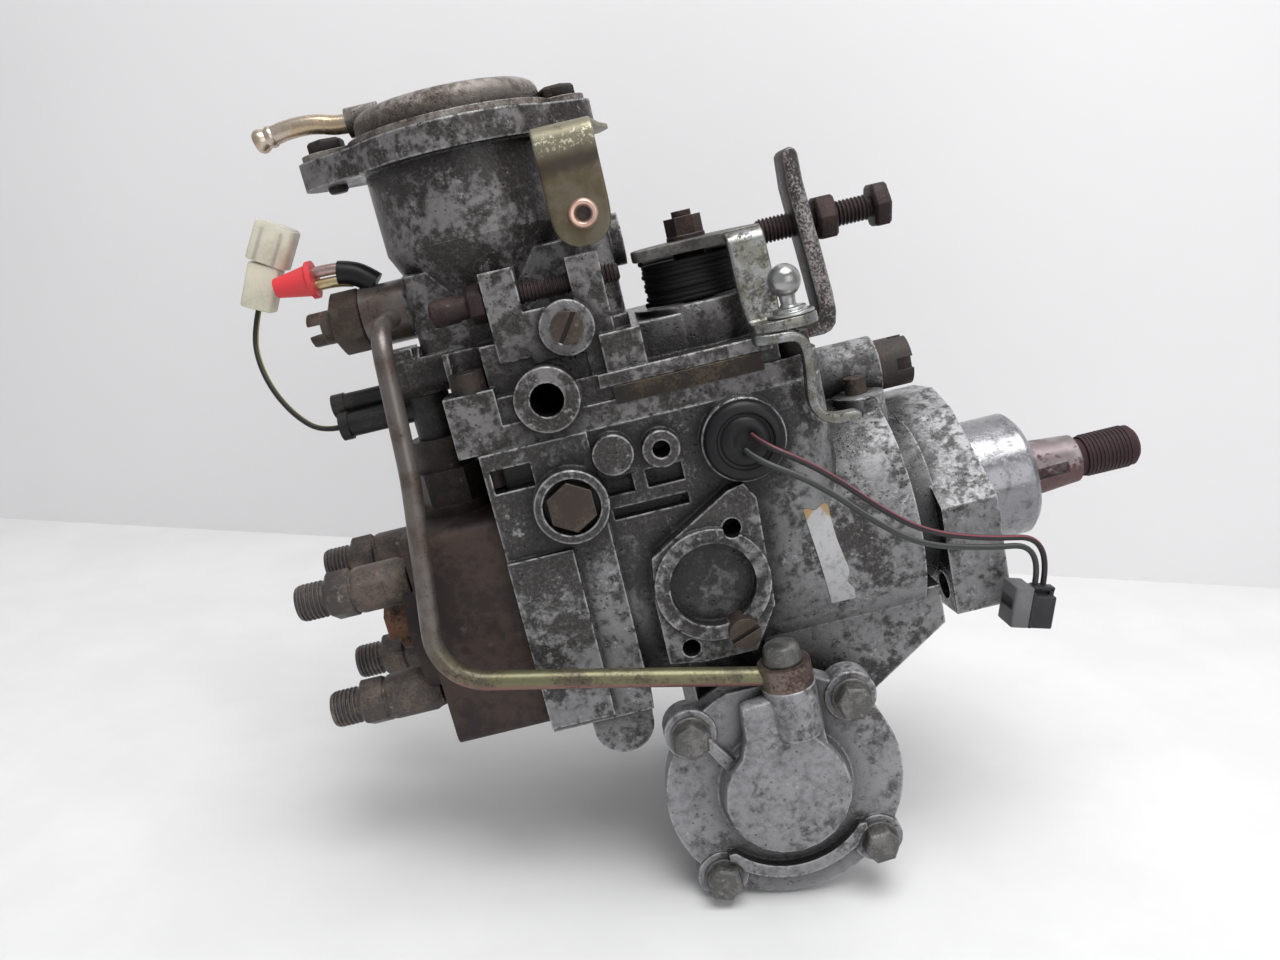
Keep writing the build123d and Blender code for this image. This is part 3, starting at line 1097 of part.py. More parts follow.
def make_shaft_seal():
    seal = ring_x(SEAL_R, JOURNAL_R + RUNNING_CLEARANCE, seal_x, seal_x + SEAL_T)
    return seal - ring_x(SEAL_R - 2.5, JOURNAL_R + 2.0, seal_x + SEAL_T - 5, seal_x + SEAL_T + 1)


def save_castings():
    save("pump_housing", make_housing())
    save("governor_cover", make_governor_cover())
    save("gasket_plate", make_gasket_plate())
    save("compensator_body", make_compensator_body())
    save("compensator_cap", make_compensator_cap())
    save("timer_cover", make_timer_cover())
    save("timer_end_cover", make_timer_end_cover())
    save("distributor_head", make_head())
    save("centre_plug", make_centre_plug())


def save_controls():
    save("idle_screw", make_idle_screw())
    save("lever_shaft", make_lever_shaft())
    save("throttle_lever", make_throttle_lever())
    save("return_spring", make_return_spring())
    save("stop_bar", make_stop_bar())
    save("max_speed_screw", make_max_screw())


def save_fittings():
    save("banjo_bolts", make_banjo_bolts())
    save("socket_bolts", make_socket_bolts())
    save("hexagon_bolts", make_hexagon_bolts())
    save("slotted_screws", make_slotted_screws())
    save("delivery_valves", [make_delivery_valve(y, z) for y, z in holder_places()])
    save("boost_nipple", make_nipple())
    save("strap_bracket", make_strap())
    save("timer_pipe", make_timer_pipe())
    save("leak_tubes", make_leak_tubes())
    save("tube_cap", make_tube_cap())
    save("regulating_valve", make_valve())
    save("hexagon_plug", make_hex_plug())
    save("fuel_cut_solenoid", make_solenoid())
    save("connector_boots", make_boots())
    save("white_connector", make_white_connector())
    save("sensor_grommet", make_grommet())
    save("sensor_connector", tilted(SENSOR_PLUG, SENSOR_PLUG_TILT, SENSOR_PLUG_SIZE))
    save("solenoid_wire", make_wire("solenoid_wire", solenoid_wire_route()))
    save("sensor_wire_a", make_wire("sensor_wire_a", sensor_wire_route(WIRE_A_EXIT, 0.0, 0.0, 3.8, 15.4)))
    save("sensor_wire_b", make_wire("sensor_wire_b", sensor_wire_route(WIRE_B_EXIT, 2.2, 3.4, 1.2, 12.8)))


def save_shaft_line():
    save("drive_shaft", make_drive_shaft())
    save("shaft_bush", make_shaft_bush())
    save("shaft_seal", make_shaft_seal())
    save("feed_pump_liner", make_feed_liner())
    save("feed_pump_rotor", make_feed_rotor())
    save("governor_drive_gear", make_drive_gear())
    save("coupling_disc", make_coupling_disc())
    save("cam_plate", make_cam_plate())
    save("roller_ring", [make_roller_ring(), make_slide_pin()])
    save("cam_rollers", make_rollers())
    save("timer_piston", make_timer_piston())
    save("timer_spring", make_timer_spring())
    save("distributor_barrel", make_barrel())
    save("plunger", make_plunger())
    save("plunger_springs", make_plunger_springs())
    save("control_sleeve", make_control_sleeve())


def save_governor():
    save("governor_shaft", make_governor_shaft())
    save("flyweight_cage", make_flyweight_cage())
    for quarter in range(4):
        save(f"flyweight_{quarter + 1}", make_flyweight(quarter))
    save("governor_sleeve", make_governor_sleeve())
    save("governor_lever", make_governor_lever())
    save("governor_spring", make_governor_spring())


if __name__ == "__main__":
    save_castings()
    save_controls()
    save_fittings()
    save_shaft_line()
    save_governor()
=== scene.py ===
"""Looks of a diesel injection pump: stained castings, browned and plated steel, wires and plugs."""
import math
import bpy
from mathutils import Matrix, Vector


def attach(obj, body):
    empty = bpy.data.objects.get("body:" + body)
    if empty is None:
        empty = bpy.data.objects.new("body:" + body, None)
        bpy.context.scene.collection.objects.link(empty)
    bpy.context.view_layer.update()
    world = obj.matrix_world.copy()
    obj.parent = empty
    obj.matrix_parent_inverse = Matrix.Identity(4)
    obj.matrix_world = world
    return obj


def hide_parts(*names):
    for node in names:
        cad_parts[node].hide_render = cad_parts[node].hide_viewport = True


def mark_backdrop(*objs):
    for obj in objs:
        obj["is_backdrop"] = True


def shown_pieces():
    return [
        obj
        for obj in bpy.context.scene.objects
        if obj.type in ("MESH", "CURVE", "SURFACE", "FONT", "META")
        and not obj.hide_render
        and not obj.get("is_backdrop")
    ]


MM = 0.001
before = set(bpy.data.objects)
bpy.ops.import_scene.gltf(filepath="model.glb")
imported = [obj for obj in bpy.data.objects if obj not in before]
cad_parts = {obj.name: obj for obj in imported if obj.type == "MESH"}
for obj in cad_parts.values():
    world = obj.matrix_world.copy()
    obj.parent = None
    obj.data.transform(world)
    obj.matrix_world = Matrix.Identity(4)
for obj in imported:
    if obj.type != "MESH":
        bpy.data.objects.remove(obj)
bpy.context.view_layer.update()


# ---- camera
IMAGE_WIDTH, IMAGE_HEIGHT = 1280, 960
FOCAL = 980.0                    # the lens, in pixels of the image
PIXELS_PER_MM = 2.9              # at the shaft's axis
SHAFT_X = 20.0                   # a place on the shaft's axis, in mm
SHAFT_SPOT = (1015.5, 471.6)     # where that place falls in the image


def linked(name, data):
    """An object for new data, in the scene."""
    obj = bpy.data.objects.new(name, data)
    bpy.context.scene.collection.objects.link(obj)
    return obj


def level_camera():
    """The viewpoint: nearly square to the near side, from a little above, with the pump leaning."""
    across, up, roll = math.radians(0.5), math.radians(14.0), math.radians(13.3)
    ahead = Vector((math.sin(across) * math.cos(up), math.cos(across) * math.cos(up), -math.sin(up)))
    level_right = Vector((math.cos(across), -math.sin(across), 0))
    level_up = Vector((math.sin(across) * math.sin(up), math.cos(across) * math.sin(up), math.cos(up)))
    right = math.cos(roll) * level_right - math.sin(roll) * level_up
    top = math.sin(roll) * level_right + math.cos(roll) * level_up
    depth = FOCAL / PIXELS_PER_MM
    offset = (SHAFT_SPOT[0] - IMAGE_WIDTH / 2) / FOCAL * depth * right
    offset += (IMAGE_HEIGHT / 2 - SHAFT_SPOT[1]) / FOCAL * depth * top + depth * ahead
    place = (Vector((SHAFT_X, 0, 0)) - offset) * MM
    camera = linked("camera", bpy.data.cameras.new("camera"))
    camera.data.sensor_width = 36.0
    camera.data.lens = camera.data.sensor_width * FOCAL / IMAGE_WIDTH
    camera.data.clip_start = 0.01
    turn = Matrix((right, top, -ahead)).transposed().to_4x4()
    camera.matrix_world = Matrix.Translation(place) @ turn
    bpy.context.scene.camera = camera
    return top, ahead


eye_top, eye_ahead = level_camera()


# ---- shader sums
def arithmetic(operation, turned=False):
    """A method that puts a value and another one through a node; turned, the other one comes first."""
    def method(self, other):
        first, second = (other, self) if turned else (self, other)
        return self.finish.node("ShaderNodeMath", {"operation": operation}, {0: first, 1: second})
    return method


class Value:
    """One socket of a finish, so that its sums are written as plain arithmetic."""

    def __init__(self, finish, socket):
        self.finish = finish
        self.socket = socket

    __add__, __radd__ = arithmetic("ADD"), arithmetic("ADD", True)
    __sub__, __rsub__ = arithmetic("SUBTRACT"), arithmetic("SUBTRACT", True)
    __mul__ = arithmetic("MULTIPLY")
    highest = arithmetic("MAXIMUM")

    def between(self, low, high):
        """0 below low, 1 above high, and a soft step from one to the other."""
        return self.finish.node("ShaderNodeMapRange", {"interpolation_type": "SMOOTHSTEP"},
                                {"Value": self, "From Min": low, "From Max": high})


DULL_GLOSS = 0.3                 # the specular level of old, dirty surfaces
UP, DOWN, NEAR = (0, 0, 1), (0, 0, -1), (0, -1, 0)


def shade(factor, tint):
    """A tint made darker or lighter by a factor, and never past white."""
    return tuple(min(1.0, factor * c) for c in tint)


class Finish:
    """A material whose nodes are added by one method."""

    def __init__(self, name, roughness=0.5, metallic=0.0):
        self.material = bpy.data.materials.new(name)
        self.material.use_nodes = True
        self.tree = self.material.node_tree
        self.surface = self.tree.nodes["Principled BSDF"]
        self.surface.inputs["Roughness"].default_value = roughness
        self.surface.inputs["Metallic"].default_value = metallic
        self.surface.inputs["Specular IOR Level"].default_value = DULL_GLOSS
        self.place = self.node("ShaderNodeTexCoord", out="Object")

    def node(self, kind, settings=None, values=None, out=0):
        """Adds a node with its settings and the values or links of its sockets, and gives back one output."""
        made = self.tree.nodes.new(kind)
        for name, setting in (settings or {}).items():
            setattr(made, name, setting)
        for name, value in (values or {}).items():
            if isinstance(value, Value):
                self.tree.links.new(value.socket, made.inputs[name])
            else:
                made.inputs[name].default_value = value
        return Value(self, made.outputs[out])

    def axis(self, number, place=None):
        """The place along one of the object's axes, in metres: 0 is X and 2 is Z."""
        return self.node("ShaderNodeSeparateXYZ", None, {0: place or self.place}, out=number)

    def moved(self, offset, stretch=(1, 1, 1)):
        return self.node("ShaderNodeMapping", None, {"Vector": self.place, "Location": offset, "Scale": stretch})

    def clouds(self, size_mm, detail=4, rough=0.55, offset=0.0, stretch=(1, 1, 1)):
        """A soft random pattern whose patches are about size_mm across."""
        at = self.moved((offset, offset * 0.7, -offset), stretch)
        return self.node("ShaderNodeTexNoise", None,
                         {"Vector": at, "Scale": 1.0 / (size_mm * MM), "Detail": detail, "Roughness": rough})

    def dots(self, size_mm, offset=0.0):
        """Distance from scattered points that lie about size_mm apart."""
        at = self.moved((offset, -offset, offset))
        return self.node("ShaderNodeTexVoronoi", None, {"Vector": at, "Scale": 1.0 / (size_mm * MM)})

    def blend(self, share, first, second):
        """The first tint where share is 0, and the second where it is 1."""
        tints = {6: first if isinstance(first, Value) else (*first, 1),
                 7: second if isinstance(second, Value) else (*second, 1), 0: share}
        return self.node("ShaderNodeMix", {"data_type": "RGBA"}, tints, out=2)

    def vector(self, operation, first, second, out=1):
        return self.node("ShaderNodeVectorMath", {"operation": operation}, {0: first, 1: second}, out=out)

    def height(self, way):
        """How far a surface faces along one of the object's axes."""
        return self.vector("DOT_PRODUCT", self.node("ShaderNodeNewGeometry", out="Normal"), way)

    def edges(self, radius_mm):
        """The rounded normal of the edges, and how much of an edge a place is."""
        soft = self.node("ShaderNodeBevel", {"samples": 4}, {"Radius": radius_mm * MM})
        same = self.vector("DOT_PRODUCT", soft, self.node("ShaderNodeNewGeometry", out="Normal"))
        return soft, (1.0 - same).between(0.01, 0.12)

    def crevice(self, reach_mm):
        """1 in corners and hollows of the piece itself, 0 on its open faces."""
        open_share = self.node("ShaderNodeAmbientOcclusion", {"samples": 6, "only_local": True},
                               {"Distance": reach_mm * MM}, out=1)
        return 1.0 - open_share

    def relief(self, height, depth_mm, normal=None):
        """Small bumps of a depth in mm, over the normal that is given."""
        values = {"Height": height, "Distance": depth_mm * MM, "Strength": 1.0}
        if normal is not None:
            values["Normal"] = normal
        return self.node("ShaderNodeBump", None, values)

    def wear(self, **sockets):
        """Joins values to the surface's sockets, and gives back the material."""
        for name, value in sockets.items():
            socket = self.surface.inputs[name.replace("_", " ").title()]
            if isinstance(value, Value):
                self.tree.links.new(value.socket, socket)
            else:
                socket.default_value = value
        return self.material

    def one_sided(self):
        """Clears the back of a sheet, so that a wall doesn't hide the pump in a view from behind it."""
        back = self.node("ShaderNodeNewGeometry", out="Backfacing")
        clear = self.node("ShaderNodeBsdfTransparent")
        both = self.node("ShaderNodeMixShader", None, {0: back, 1: Value(self, self.surface.outputs[0]), 2: clear})
        output = next(n for n in self.tree.nodes if n.type == "OUTPUT_MATERIAL")
        self.tree.links.new(both.socket, output.inputs["Surface"])


PAD_CENTRE = (-0.093, 0, 0.003)  # the round pad of the near side, in metres


def casting(name, dark, middle, light, grime=0.5, chalk=0.5, rounding=1.1, near_drive=False):
    """Cast aluminium: mottled grey skin, oily dark stains, chalky bitten patches, and bright edges, partly worn bare
    and partly painted highlight; painted shade with grime darkens its hollows, and painted light lightens faces
    turned upwards.

    near_drive adds what the housing alone has: a stained middle, paler patches towards the drive,
    painted shade that makes the round pad read as a sunk dish, and the turned pilot boss.
    """
    f = Finish(name, metallic=0.3)
    normal, edge = f.edges(rounding)
    broad = f.clouds(24, 5, 0.62, 0.3)
    patchy = f.clouds(8, 5, 0.7, 3.6)
    fine = f.clouds(2.6, 5, 0.65, 1.1)
    grain = f.clouds(0.7, 3, 0.6, 2.0)
    cloud = broad * 0.4 + patchy * 0.33 + fine * 0.27
    hollow = f.crevice(14.0)
    # Painted shade with grime: the hollows of the piece, found by occlusion and broken up by noise.
    grime_and_hollow_shade = (hollow + fine * 0.45 + patchy * 0.3 - 0.345).between(0.06, 0.36)
    eaten = f.clouds(9, 6, 0.75, 4.2) * 0.62 + f.clouds(1.3, 4, 0.7, 0.6) * 0.38
    if near_drive:
        along = f.axis(0)
        high = f.axis(2)
        zone = along.between(-0.052, -0.018) * high.between(-0.012, 0.022)
        eaten = eaten + zone * 0.03
        oily = along.between(-0.045, -0.085) * (high + patchy * 0.03).between(0.004, 0.046)
        cloud = cloud - oily * 0.085 - zone * 0.018 + 0.004
        # Painted shade: the disc inside the round pad, on faces turned to the near side, where a sunk dish is
        # painted.
        across = f.vector("DISTANCE", f.vector("MULTIPLY", f.place, (1, 0, 1), 0), PAD_CENTRE)
        painted_dish = (across + fine * 0.002).between(0.0172, 0.015) * f.height(NEAR).between(0.5, 0.8)
        pilot = along.between(0.0001, 0.0004)
    stain = cloud.between(grime + 0.035, grime - 0.045)
    bitten = eaten.between(0.585 - 0.08 * chalk, 0.645)
    pit = f.dots(1.9, 0.5).between(0.24, 0.06) * f.clouds(11, 3, 0.5, 7.0).between(0.46, 0.58)
    tone = f.blend((fine * 0.6 + patchy * 0.4).between(0.36, 0.62), shade(0.74, middle), shade(1.36, middle))
    specks = f.clouds(1.1, 4, 0.7, 8.3) * 0.6 + grain * 0.4
    murk = f.blend(specks.between(0.42, 0.6), shade(0.75, dark), shade(2.1, dark))
    tone = f.blend(stain * (0.93 - specks.between(0.55, 0.66) * 0.45), tone, murk)
    tone = f.blend(bitten * (0.35 + 0.5 * chalk), tone, light)
    tone = f.blend(pit * 0.7, tone, shade(0.5, dark))
    # Painted shade with grime: the hollows are darkened.
    tone = f.blend(grime_and_hollow_shade * 0.92, tone, shade(0.5, dark))
    # Bright open edges: partly worn bare metal, partly painted highlight lines.
    bare_edge_and_highlight = edge * (1.0 - hollow).between(0.55, 0.85) * fine.between(0.36, 0.54)
    tone = f.blend(bare_edge_and_highlight * 0.9, tone, shade(1.2, light))
    # Painted light: faces turned upwards are lightened in patches, as if lit from above; worn is only the patch
    # pattern for it.
    worn = (patchy * 0.5 + fine * 0.5 - grime_and_hollow_shade * 0.2).between(0.44, 0.56)
    lightened = f.height(UP).between(0.5, 0.9) * worn
    tone = f.blend(lightened * 0.36, tone, light)
    rough = 0.53 - stain * 0.22 + bitten * 0.2 - edge * 0.2 - grime_and_hollow_shade * 0.2 - lightened * 0.14
    skin = grain * 0.45 + fine * 0.6 + patchy * 0.8 + bitten * 0.5 - pit * 0.9
    metal = stain * -0.2 + 0.34
    if near_drive:
        # Painted shade, not oil: the pad's disc is darkened in patches so that it reads as a recess.
        oiled = painted_dish * (fine * 0.5 + patchy * 0.5).between(0.66, 0.4)
        tone = f.blend(oiled * 0.8, tone, shade(0.8, dark))
        marks = f.clouds(6, 5, 0.7, 5.5) * 0.6 + fine * 0.4
        turned_tone = f.blend(marks.between(0.5, 0.64), (0.245, 0.245, 0.257), (0.14, 0.137, 0.141))
        tone = f.blend(pilot, tone, turned_tone)
        rough = rough - pilot * 0.18
        skin = skin * (1.0 - pilot * 0.75)
        metal = metal + pilot * 0.4
    return f.wear(base_color=tone, roughness=rough, metallic=metal, normal=f.relief(skin, 0.32, normal))


def rusted(name, dark, rust, bright, bare=0.45, metallic=0.5, rounding=0.3, size=4, rough=0.5, painted_front_glint=0.0):
    """Steel with a brown film: warm rust in patches, worn bright edges and scraped patches, painted shade with grime
    in its hollows, and, if wanted, painted glints on faces turned to the near side.
    """
    f = Finish(name, metallic=metallic)
    normal, edge = f.edges(rounding)
    broad = f.clouds(size * 2, 5, 0.6, 0.9)
    fine = f.clouds(size * 0.22, 5, 0.7, 3.1)
    patch = (broad * 0.6 + fine * 0.4).between(0.46, 0.58)
    scraped = f.clouds(size, 5, 0.7, 6.0).between(0.62, 0.7)
    # Worn bright edges and scraped patches.
    lightened = edge.highest(scraped) * fine.between(0.62 - bare, 0.62)
    tone = f.blend(patch, dark, rust)
    tone = f.blend(lightened * bare, tone, bright)
    # Painted glints: faces turned to the near side are lightened in fine specks.
    if painted_front_glint:
        glints = f.clouds(0.9, 4, 0.7, 9.0) * 0.55 + broad * 0.45
        front = f.height(NEAR).between(0.35, 0.8) * glints.between(0.49, 0.6)
        tone = f.blend(front * painted_front_glint, tone, bright)
    # Painted shade with grime: the hollows of the piece are darkened.
    tone = f.blend(f.crevice(4.0).between(0.25, 0.75) * 0.7, tone, shade(0.45, dark))
    return f.wear(base_color=tone, roughness=rough + patch * 0.12 - lightened * 0.25,
                  normal=f.relief(fine * 0.8 + patch * 0.3, 0.16, normal))


def plated(name, silver, gold, rust, stained=0.3, rough=0.2, size=6):
    """Zinc plating that turns from silver to yellow, with rust where it has gone."""
    f = Finish(name, metallic=0.85)
    normal, edge = f.edges(0.3)
    broad = f.clouds(size, 4, 0.55, 1.7)
    fine = f.clouds(size * 0.12, 5, 0.65, 0.2)
    tone = f.blend(broad.between(0.4, 0.58), silver, gold)
    eaten = f.clouds(size * 0.7, 6, 0.7, 5.1) * 0.7 + fine * 0.3
    gone = eaten.between(0.62 - 0.14 * stained, 0.7 - 0.12 * stained)
    tone = f.blend(gone * 0.85, tone, rust)
    tone = f.blend(edge * 0.55, tone, shade(1.6, silver))
    # Painted shade with rust: the hollows of the piece are darkened towards a dark rust tint.
    tone = f.blend(f.crevice(4.0).between(0.3, 0.8) * 0.7, tone, shade(0.3, rust))
    return f.wear(base_color=tone, roughness=rough + gone * 0.35 + fine * 0.15,
                  metallic=0.85 - gone * 0.595, normal=f.relief(fine * 0.5 + gone * 0.5, 0.03, normal))


SHAFT_RUST, THREAD_RUST = (0.105, 0.048, 0.05), (0.044, 0.022, 0.026)


def turned_metal(name, bright, dull, spots, spotted=0.3, rough=0.32, threaded_from=None):
    """Machined steel with fine tool marks and a few corroded spots; red-brown below and past a place along it."""
    f = Finish(name, metallic=0.85)
    normal = f.edges(0.4)[0]
    fine = f.clouds(1.4, 5, 0.7, 0.8)
    broad = f.clouds(14, 4, 0.55, 2.2)
    eaten = f.clouds(5, 6, 0.72, 3.3) * 0.65 + fine * 0.35
    gone = eaten.between(0.66 - 0.16 * spotted, 0.72 - 0.12 * spotted)
    lines = f.clouds(0.5, 2, 0.5, 0.0, (9, 0.6, 0.6))
    tone = f.blend(broad.between(0.4, 0.62), bright, dull)
    tone = f.blend(gone, tone, spots)
    if threaded_from is not None:
        under = (f.height(UP) * -0.3 + fine * 0.5 + broad * 0.2 - 0.26).between(0.02, 0.14)
        tone = f.blend(under * 0.85, tone, SHAFT_RUST)
        gone = gone.highest(under * 0.7)
        along = f.axis(0)
        end = (along + fine * 0.003 - 0.0015).between(threaded_from - 0.001, threaded_from + 0.001)
        tone = f.blend(end, tone, THREAD_RUST)
        gone = gone.highest(end)
    return f.wear(base_color=tone, roughness=rough + gone * 0.3 + lines * 0.12, metallic=0.85 - gone * 0.55,
                  normal=f.relief(lines * 0.4 - gone * 0.6 + fine * 0.2, 0.06, normal))


def moulded(name, tint, dull, rough=0.36, dust=0.3, depth=0.02, clear=0.0):
    """Moulded rubber or plastic with dust in its fine grain."""
    f = Finish(name)
    normal = f.edges(0.4)[0]
    fine = f.clouds(0.9, 4, 0.6, 0.4)
    broad = f.clouds(8, 4, 0.6, 2.6)
    tone = f.blend((broad * 0.6 + fine * 0.4).between(0.45, 0.66) * dust, tint, dull)
    if clear:
        f.wear(subsurface_weight=clear, subsurface_radius=(0.004, 0.004, 0.003), subsurface_scale=1.0)
    return f.wear(base_color=tone, roughness=rough + broad * 0.15, normal=f.relief(fine, depth, normal))


aluminium = casting(
    "stained aluminium", (0.024, 0.022, 0.021), (0.178, 0.177, 0.18), (0.52, 0.52, 0.53), grime=0.495,
    near_drive=True)
aluminium_top = casting(
    "oily cover aluminium", (0.022, 0.019, 0.018), (0.14, 0.135, 0.136), (0.46, 0.46, 0.46), grime=0.52, chalk=0.3)
aluminium_bright = casting(
    "timer aluminium", (0.055, 0.052, 0.052), (0.215, 0.214, 0.222), (0.5, 0.5, 0.51), grime=0.45)
cap_metal = casting(
    "pitted cap casting", (0.06, 0.046, 0.038), (0.185, 0.163, 0.148), (0.38, 0.36, 0.34), chalk=0.9, rounding=0.5)
head_metal = rusted(
    "browned head steel", (0.026, 0.018, 0.017), (0.052, 0.036, 0.03), (0.13, 0.12, 0.12), bare=0.3, metallic=0.2,
    rounding=0.5, size=14)
holder_metal = rusted(
    "holder steel", (0.075, 0.066, 0.062), (0.15, 0.118, 0.1), (0.36, 0.34, 0.33), bare=0.6, metallic=0.6, rough=0.38)
plug_metal = rusted(
    "coppery plug steel", (0.045, 0.036, 0.03), (0.19, 0.098, 0.06), (0.3, 0.24, 0.2), bare=0.4, size=7, rough=0.45)
bolt_metal = rusted(
    "browned bolt steel", (0.022, 0.019, 0.018), (0.05, 0.038, 0.032), (0.2, 0.18, 0.16), size=3, rough=0.45)
zinc_bolts = rusted(
    "dull bolt zinc", (0.1, 0.099, 0.097), (0.19, 0.184, 0.178), (0.42, 0.41, 0.39), bare=0.7, metallic=0.6, size=3,
    rough=0.36)
brown_hexes = rusted(
    "brown hexagon steel", (0.048, 0.037, 0.031), (0.082, 0.062, 0.05), (0.24, 0.21, 0.18), bare=0.5, metallic=0.45,
    rounding=0.4, rough=0.48)
rust_metal = rusted(
    "rusted steel", (0.03, 0.021, 0.019), (0.062, 0.038, 0.032), (0.3, 0.26, 0.24), metallic=0.35, rounding=0.4,
    size=5, rough=0.62)
bar_metal = rusted(
    "bent bar steel", (0.036, 0.031, 0.03), (0.064, 0.051, 0.047), (0.46, 0.45, 0.44), bare=0.8, metallic=0.4,
    rounding=0.9, size=6, rough=0.45, painted_front_glint=0.6)
thread_metal = rusted(
    "red-brown thread steel", (0.026, 0.018, 0.017), (0.052, 0.033, 0.031), (0.22, 0.18, 0.17), metallic=0.4,
    rounding=0.2)


def strap_plating():
    """Olive-brown plating, with a silvery yellow painted highlight and painted glints where it bends over the ear,
    and painted shade along the fold under that bend.
    """
    f = Finish("olive strap plating", metallic=0.6)
    normal = f.edges(0.4)[0]
    high = f.axis(2)
    fine = f.clouds(1.2, 5, 0.72, 0.6)
    broad = f.clouds(9, 5, 0.6, 2.4)
    level = high + broad * 0.006 - 0.003
    tone = f.blend(broad.between(0.42, 0.6), (0.13, 0.112, 0.082), (0.095, 0.08, 0.047))
    # Painted highlight: the bend over the ear is lightened towards silvery yellow.
    bend_highlight = level.between(0.1315, 0.1345)
    tone = f.blend(bend_highlight * 0.8, tone, (0.22, 0.205, 0.145))
    # Painted glints: bright specks on the upper part of that bend.
    bend_glints = bend_highlight * fine.between(0.52, 0.6) * high.between(0.1395, 0.1365)
    tone = f.blend(bend_glints * 0.75, tone, (0.72, 0.7, 0.52))
    # Painted shade: a band along the fold under the bend is darkened.
    fold_shade = level.between(0.1262, 0.1285) * level.between(0.1325, 0.13)
    tone = f.blend(fold_shade * 0.75, tone, (0.045, 0.036, 0.03))
    tone = f.blend((fine * 0.5 + broad * 0.5).between(0.56, 0.64) * 0.6, tone, (0.075, 0.05, 0.04))
    return f.wear(base_color=tone, roughness=0.34 + fine * 0.2, normal=f.relief(fine, 0.04, normal))


zinc_strap = strap_plating()


def pipe_plating():
    """Grey-brown plating that turns olive yellow towards the bend, with pink rust under the level run."""
    f = Finish("worn pipe plating", metallic=0.55)
    high = f.axis(2)
    fine = f.clouds(1.1, 5, 0.72, 0.6)
    broad = f.clouds(10, 5, 0.6, 2.4)
    tone = f.blend(broad.between(0.42, 0.6), (0.14, 0.124, 0.116), (0.1, 0.078, 0.068))
    low = (high + broad * 0.03 - 0.015).between(0.016, -0.01)
    olive = f.blend((broad * 0.6 + fine * 0.4).between(0.44, 0.56), (0.155, 0.15, 0.085), (0.095, 0.083, 0.055))
    tone = f.blend(low, tone, olive)
    along = f.axis(0)
    eye_tone = f.blend((fine * 0.55 + broad * 0.45).between(0.45, 0.56), (0.165, 0.128, 0.112), (0.078, 0.052, 0.046))
    tone = f.blend((along + fine * 0.004).between(-0.086, -0.08), tone, eye_tone)
    under = low * f.height(DOWN).between(0.0, 0.55)
    tone = f.blend(under * 0.8, tone, (0.24, 0.115, 0.105))
    tone = f.blend((fine * 0.7 + broad * 0.3).between(0.56, 0.62) * 0.8, tone, (0.03, 0.023, 0.021))
    return f.wear(base_color=tone, roughness=0.2 + fine * 0.26, normal=f.relief(fine, 0.05))


zinc_pipe = pipe_plating()
zinc_nipple = plated(
    "golden nipple zinc", (0.5, 0.43, 0.36), (0.46, 0.36, 0.24), (0.36, 0.22, 0.19), stained=0.5, size=7)
tube_pink = plated(
    "pinkish tube plating", (0.5, 0.38, 0.38), (0.42, 0.3, 0.27), (0.2, 0.12, 0.11), stained=0.4, rough=0.22)
tube_yellow = plated(
    "pale yellow tube plating", (0.6, 0.5, 0.3), (0.52, 0.42, 0.24), (0.26, 0.2, 0.12), rough=0.22)
stud_metal = turned_metal(
    "polished stud steel", (0.42, 0.42, 0.42), (0.27, 0.27, 0.265), (0.12, 0.1, 0.09), rough=0.13)
eyelet_copper = plated(
    "bright eyelet copper", (0.72, 0.5, 0.42), (0.62, 0.4, 0.32), (0.3, 0.17, 0.13), rough=0.25, size=4)
zinc_lever = plated(
    "worn lever zinc", (0.235, 0.238, 0.236), (0.16, 0.158, 0.135), (0.05, 0.045, 0.04), stained=0.85, size=5)
lever_plate_metal = rusted(
    "dark lever steel", (0.06, 0.058, 0.056), (0.115, 0.108, 0.1), (0.4, 0.39, 0.37), bare=0.75, rounding=0.6, size=7,
    rough=0.42)
bright_steel = turned_metal("turned steel", (0.5, 0.49, 0.48), (0.36, 0.35, 0.34), (0.14, 0.1, 0.09))
shaft_metal = turned_metal(
    "corroded taper steel", (0.4, 0.375, 0.375), (0.21, 0.175, 0.18), (0.085, 0.048, 0.048), spotted=0.9, rough=0.34,
    threaded_from=0.0405)
inner_steel = turned_metal(
    "oiled inner steel", (0.34, 0.33, 0.31), (0.24, 0.23, 0.21), (0.12, 0.1, 0.08), spotted=0.2, rough=0.25)
bush_bronze = turned_metal(
    "bush bronze", (0.5, 0.34, 0.17), (0.38, 0.25, 0.12), (0.16, 0.1, 0.06), spotted=0.2, rough=0.3)
spring_metal = moulded(
    "blackened spring wire", (0.002, 0.002, 0.002), (0.007, 0.006, 0.006), rough=0.55, dust=0.35, depth=0.04)
gasket_metal = rusted(
    "brown-gold gasket", (0.018, 0.014, 0.012), (0.062, 0.045, 0.03), (0.26, 0.2, 0.14), metallic=0.3, rounding=0.5,
    rough=0.42)
black_rubber = moulded("black rubber", (0.005, 0.005, 0.006), (0.019, 0.018, 0.018), rough=0.34, depth=0.04)
oily_rubber = moulded("oily boot rubber", (0.011, 0.01, 0.01), (0.045, 0.041, 0.038), dust=0.6, depth=0.04)
nylon = moulded("milky nylon", (0.6, 0.575, 0.47), (0.42, 0.39, 0.29), rough=0.35, dust=0.5, clear=0.35)
red_plastic = moulded("red cap plastic", (0.66, 0.045, 0.055), (0.5, 0.07, 0.07), rough=0.38, dust=0.4)
grey_plastic = moulded("grey plug plastic", (0.12, 0.12, 0.125), (0.2, 0.195, 0.19), rough=0.42, dust=0.4)
black_plastic = moulded("black plug plastic", (0.02, 0.02, 0.023), (0.05, 0.048, 0.048))
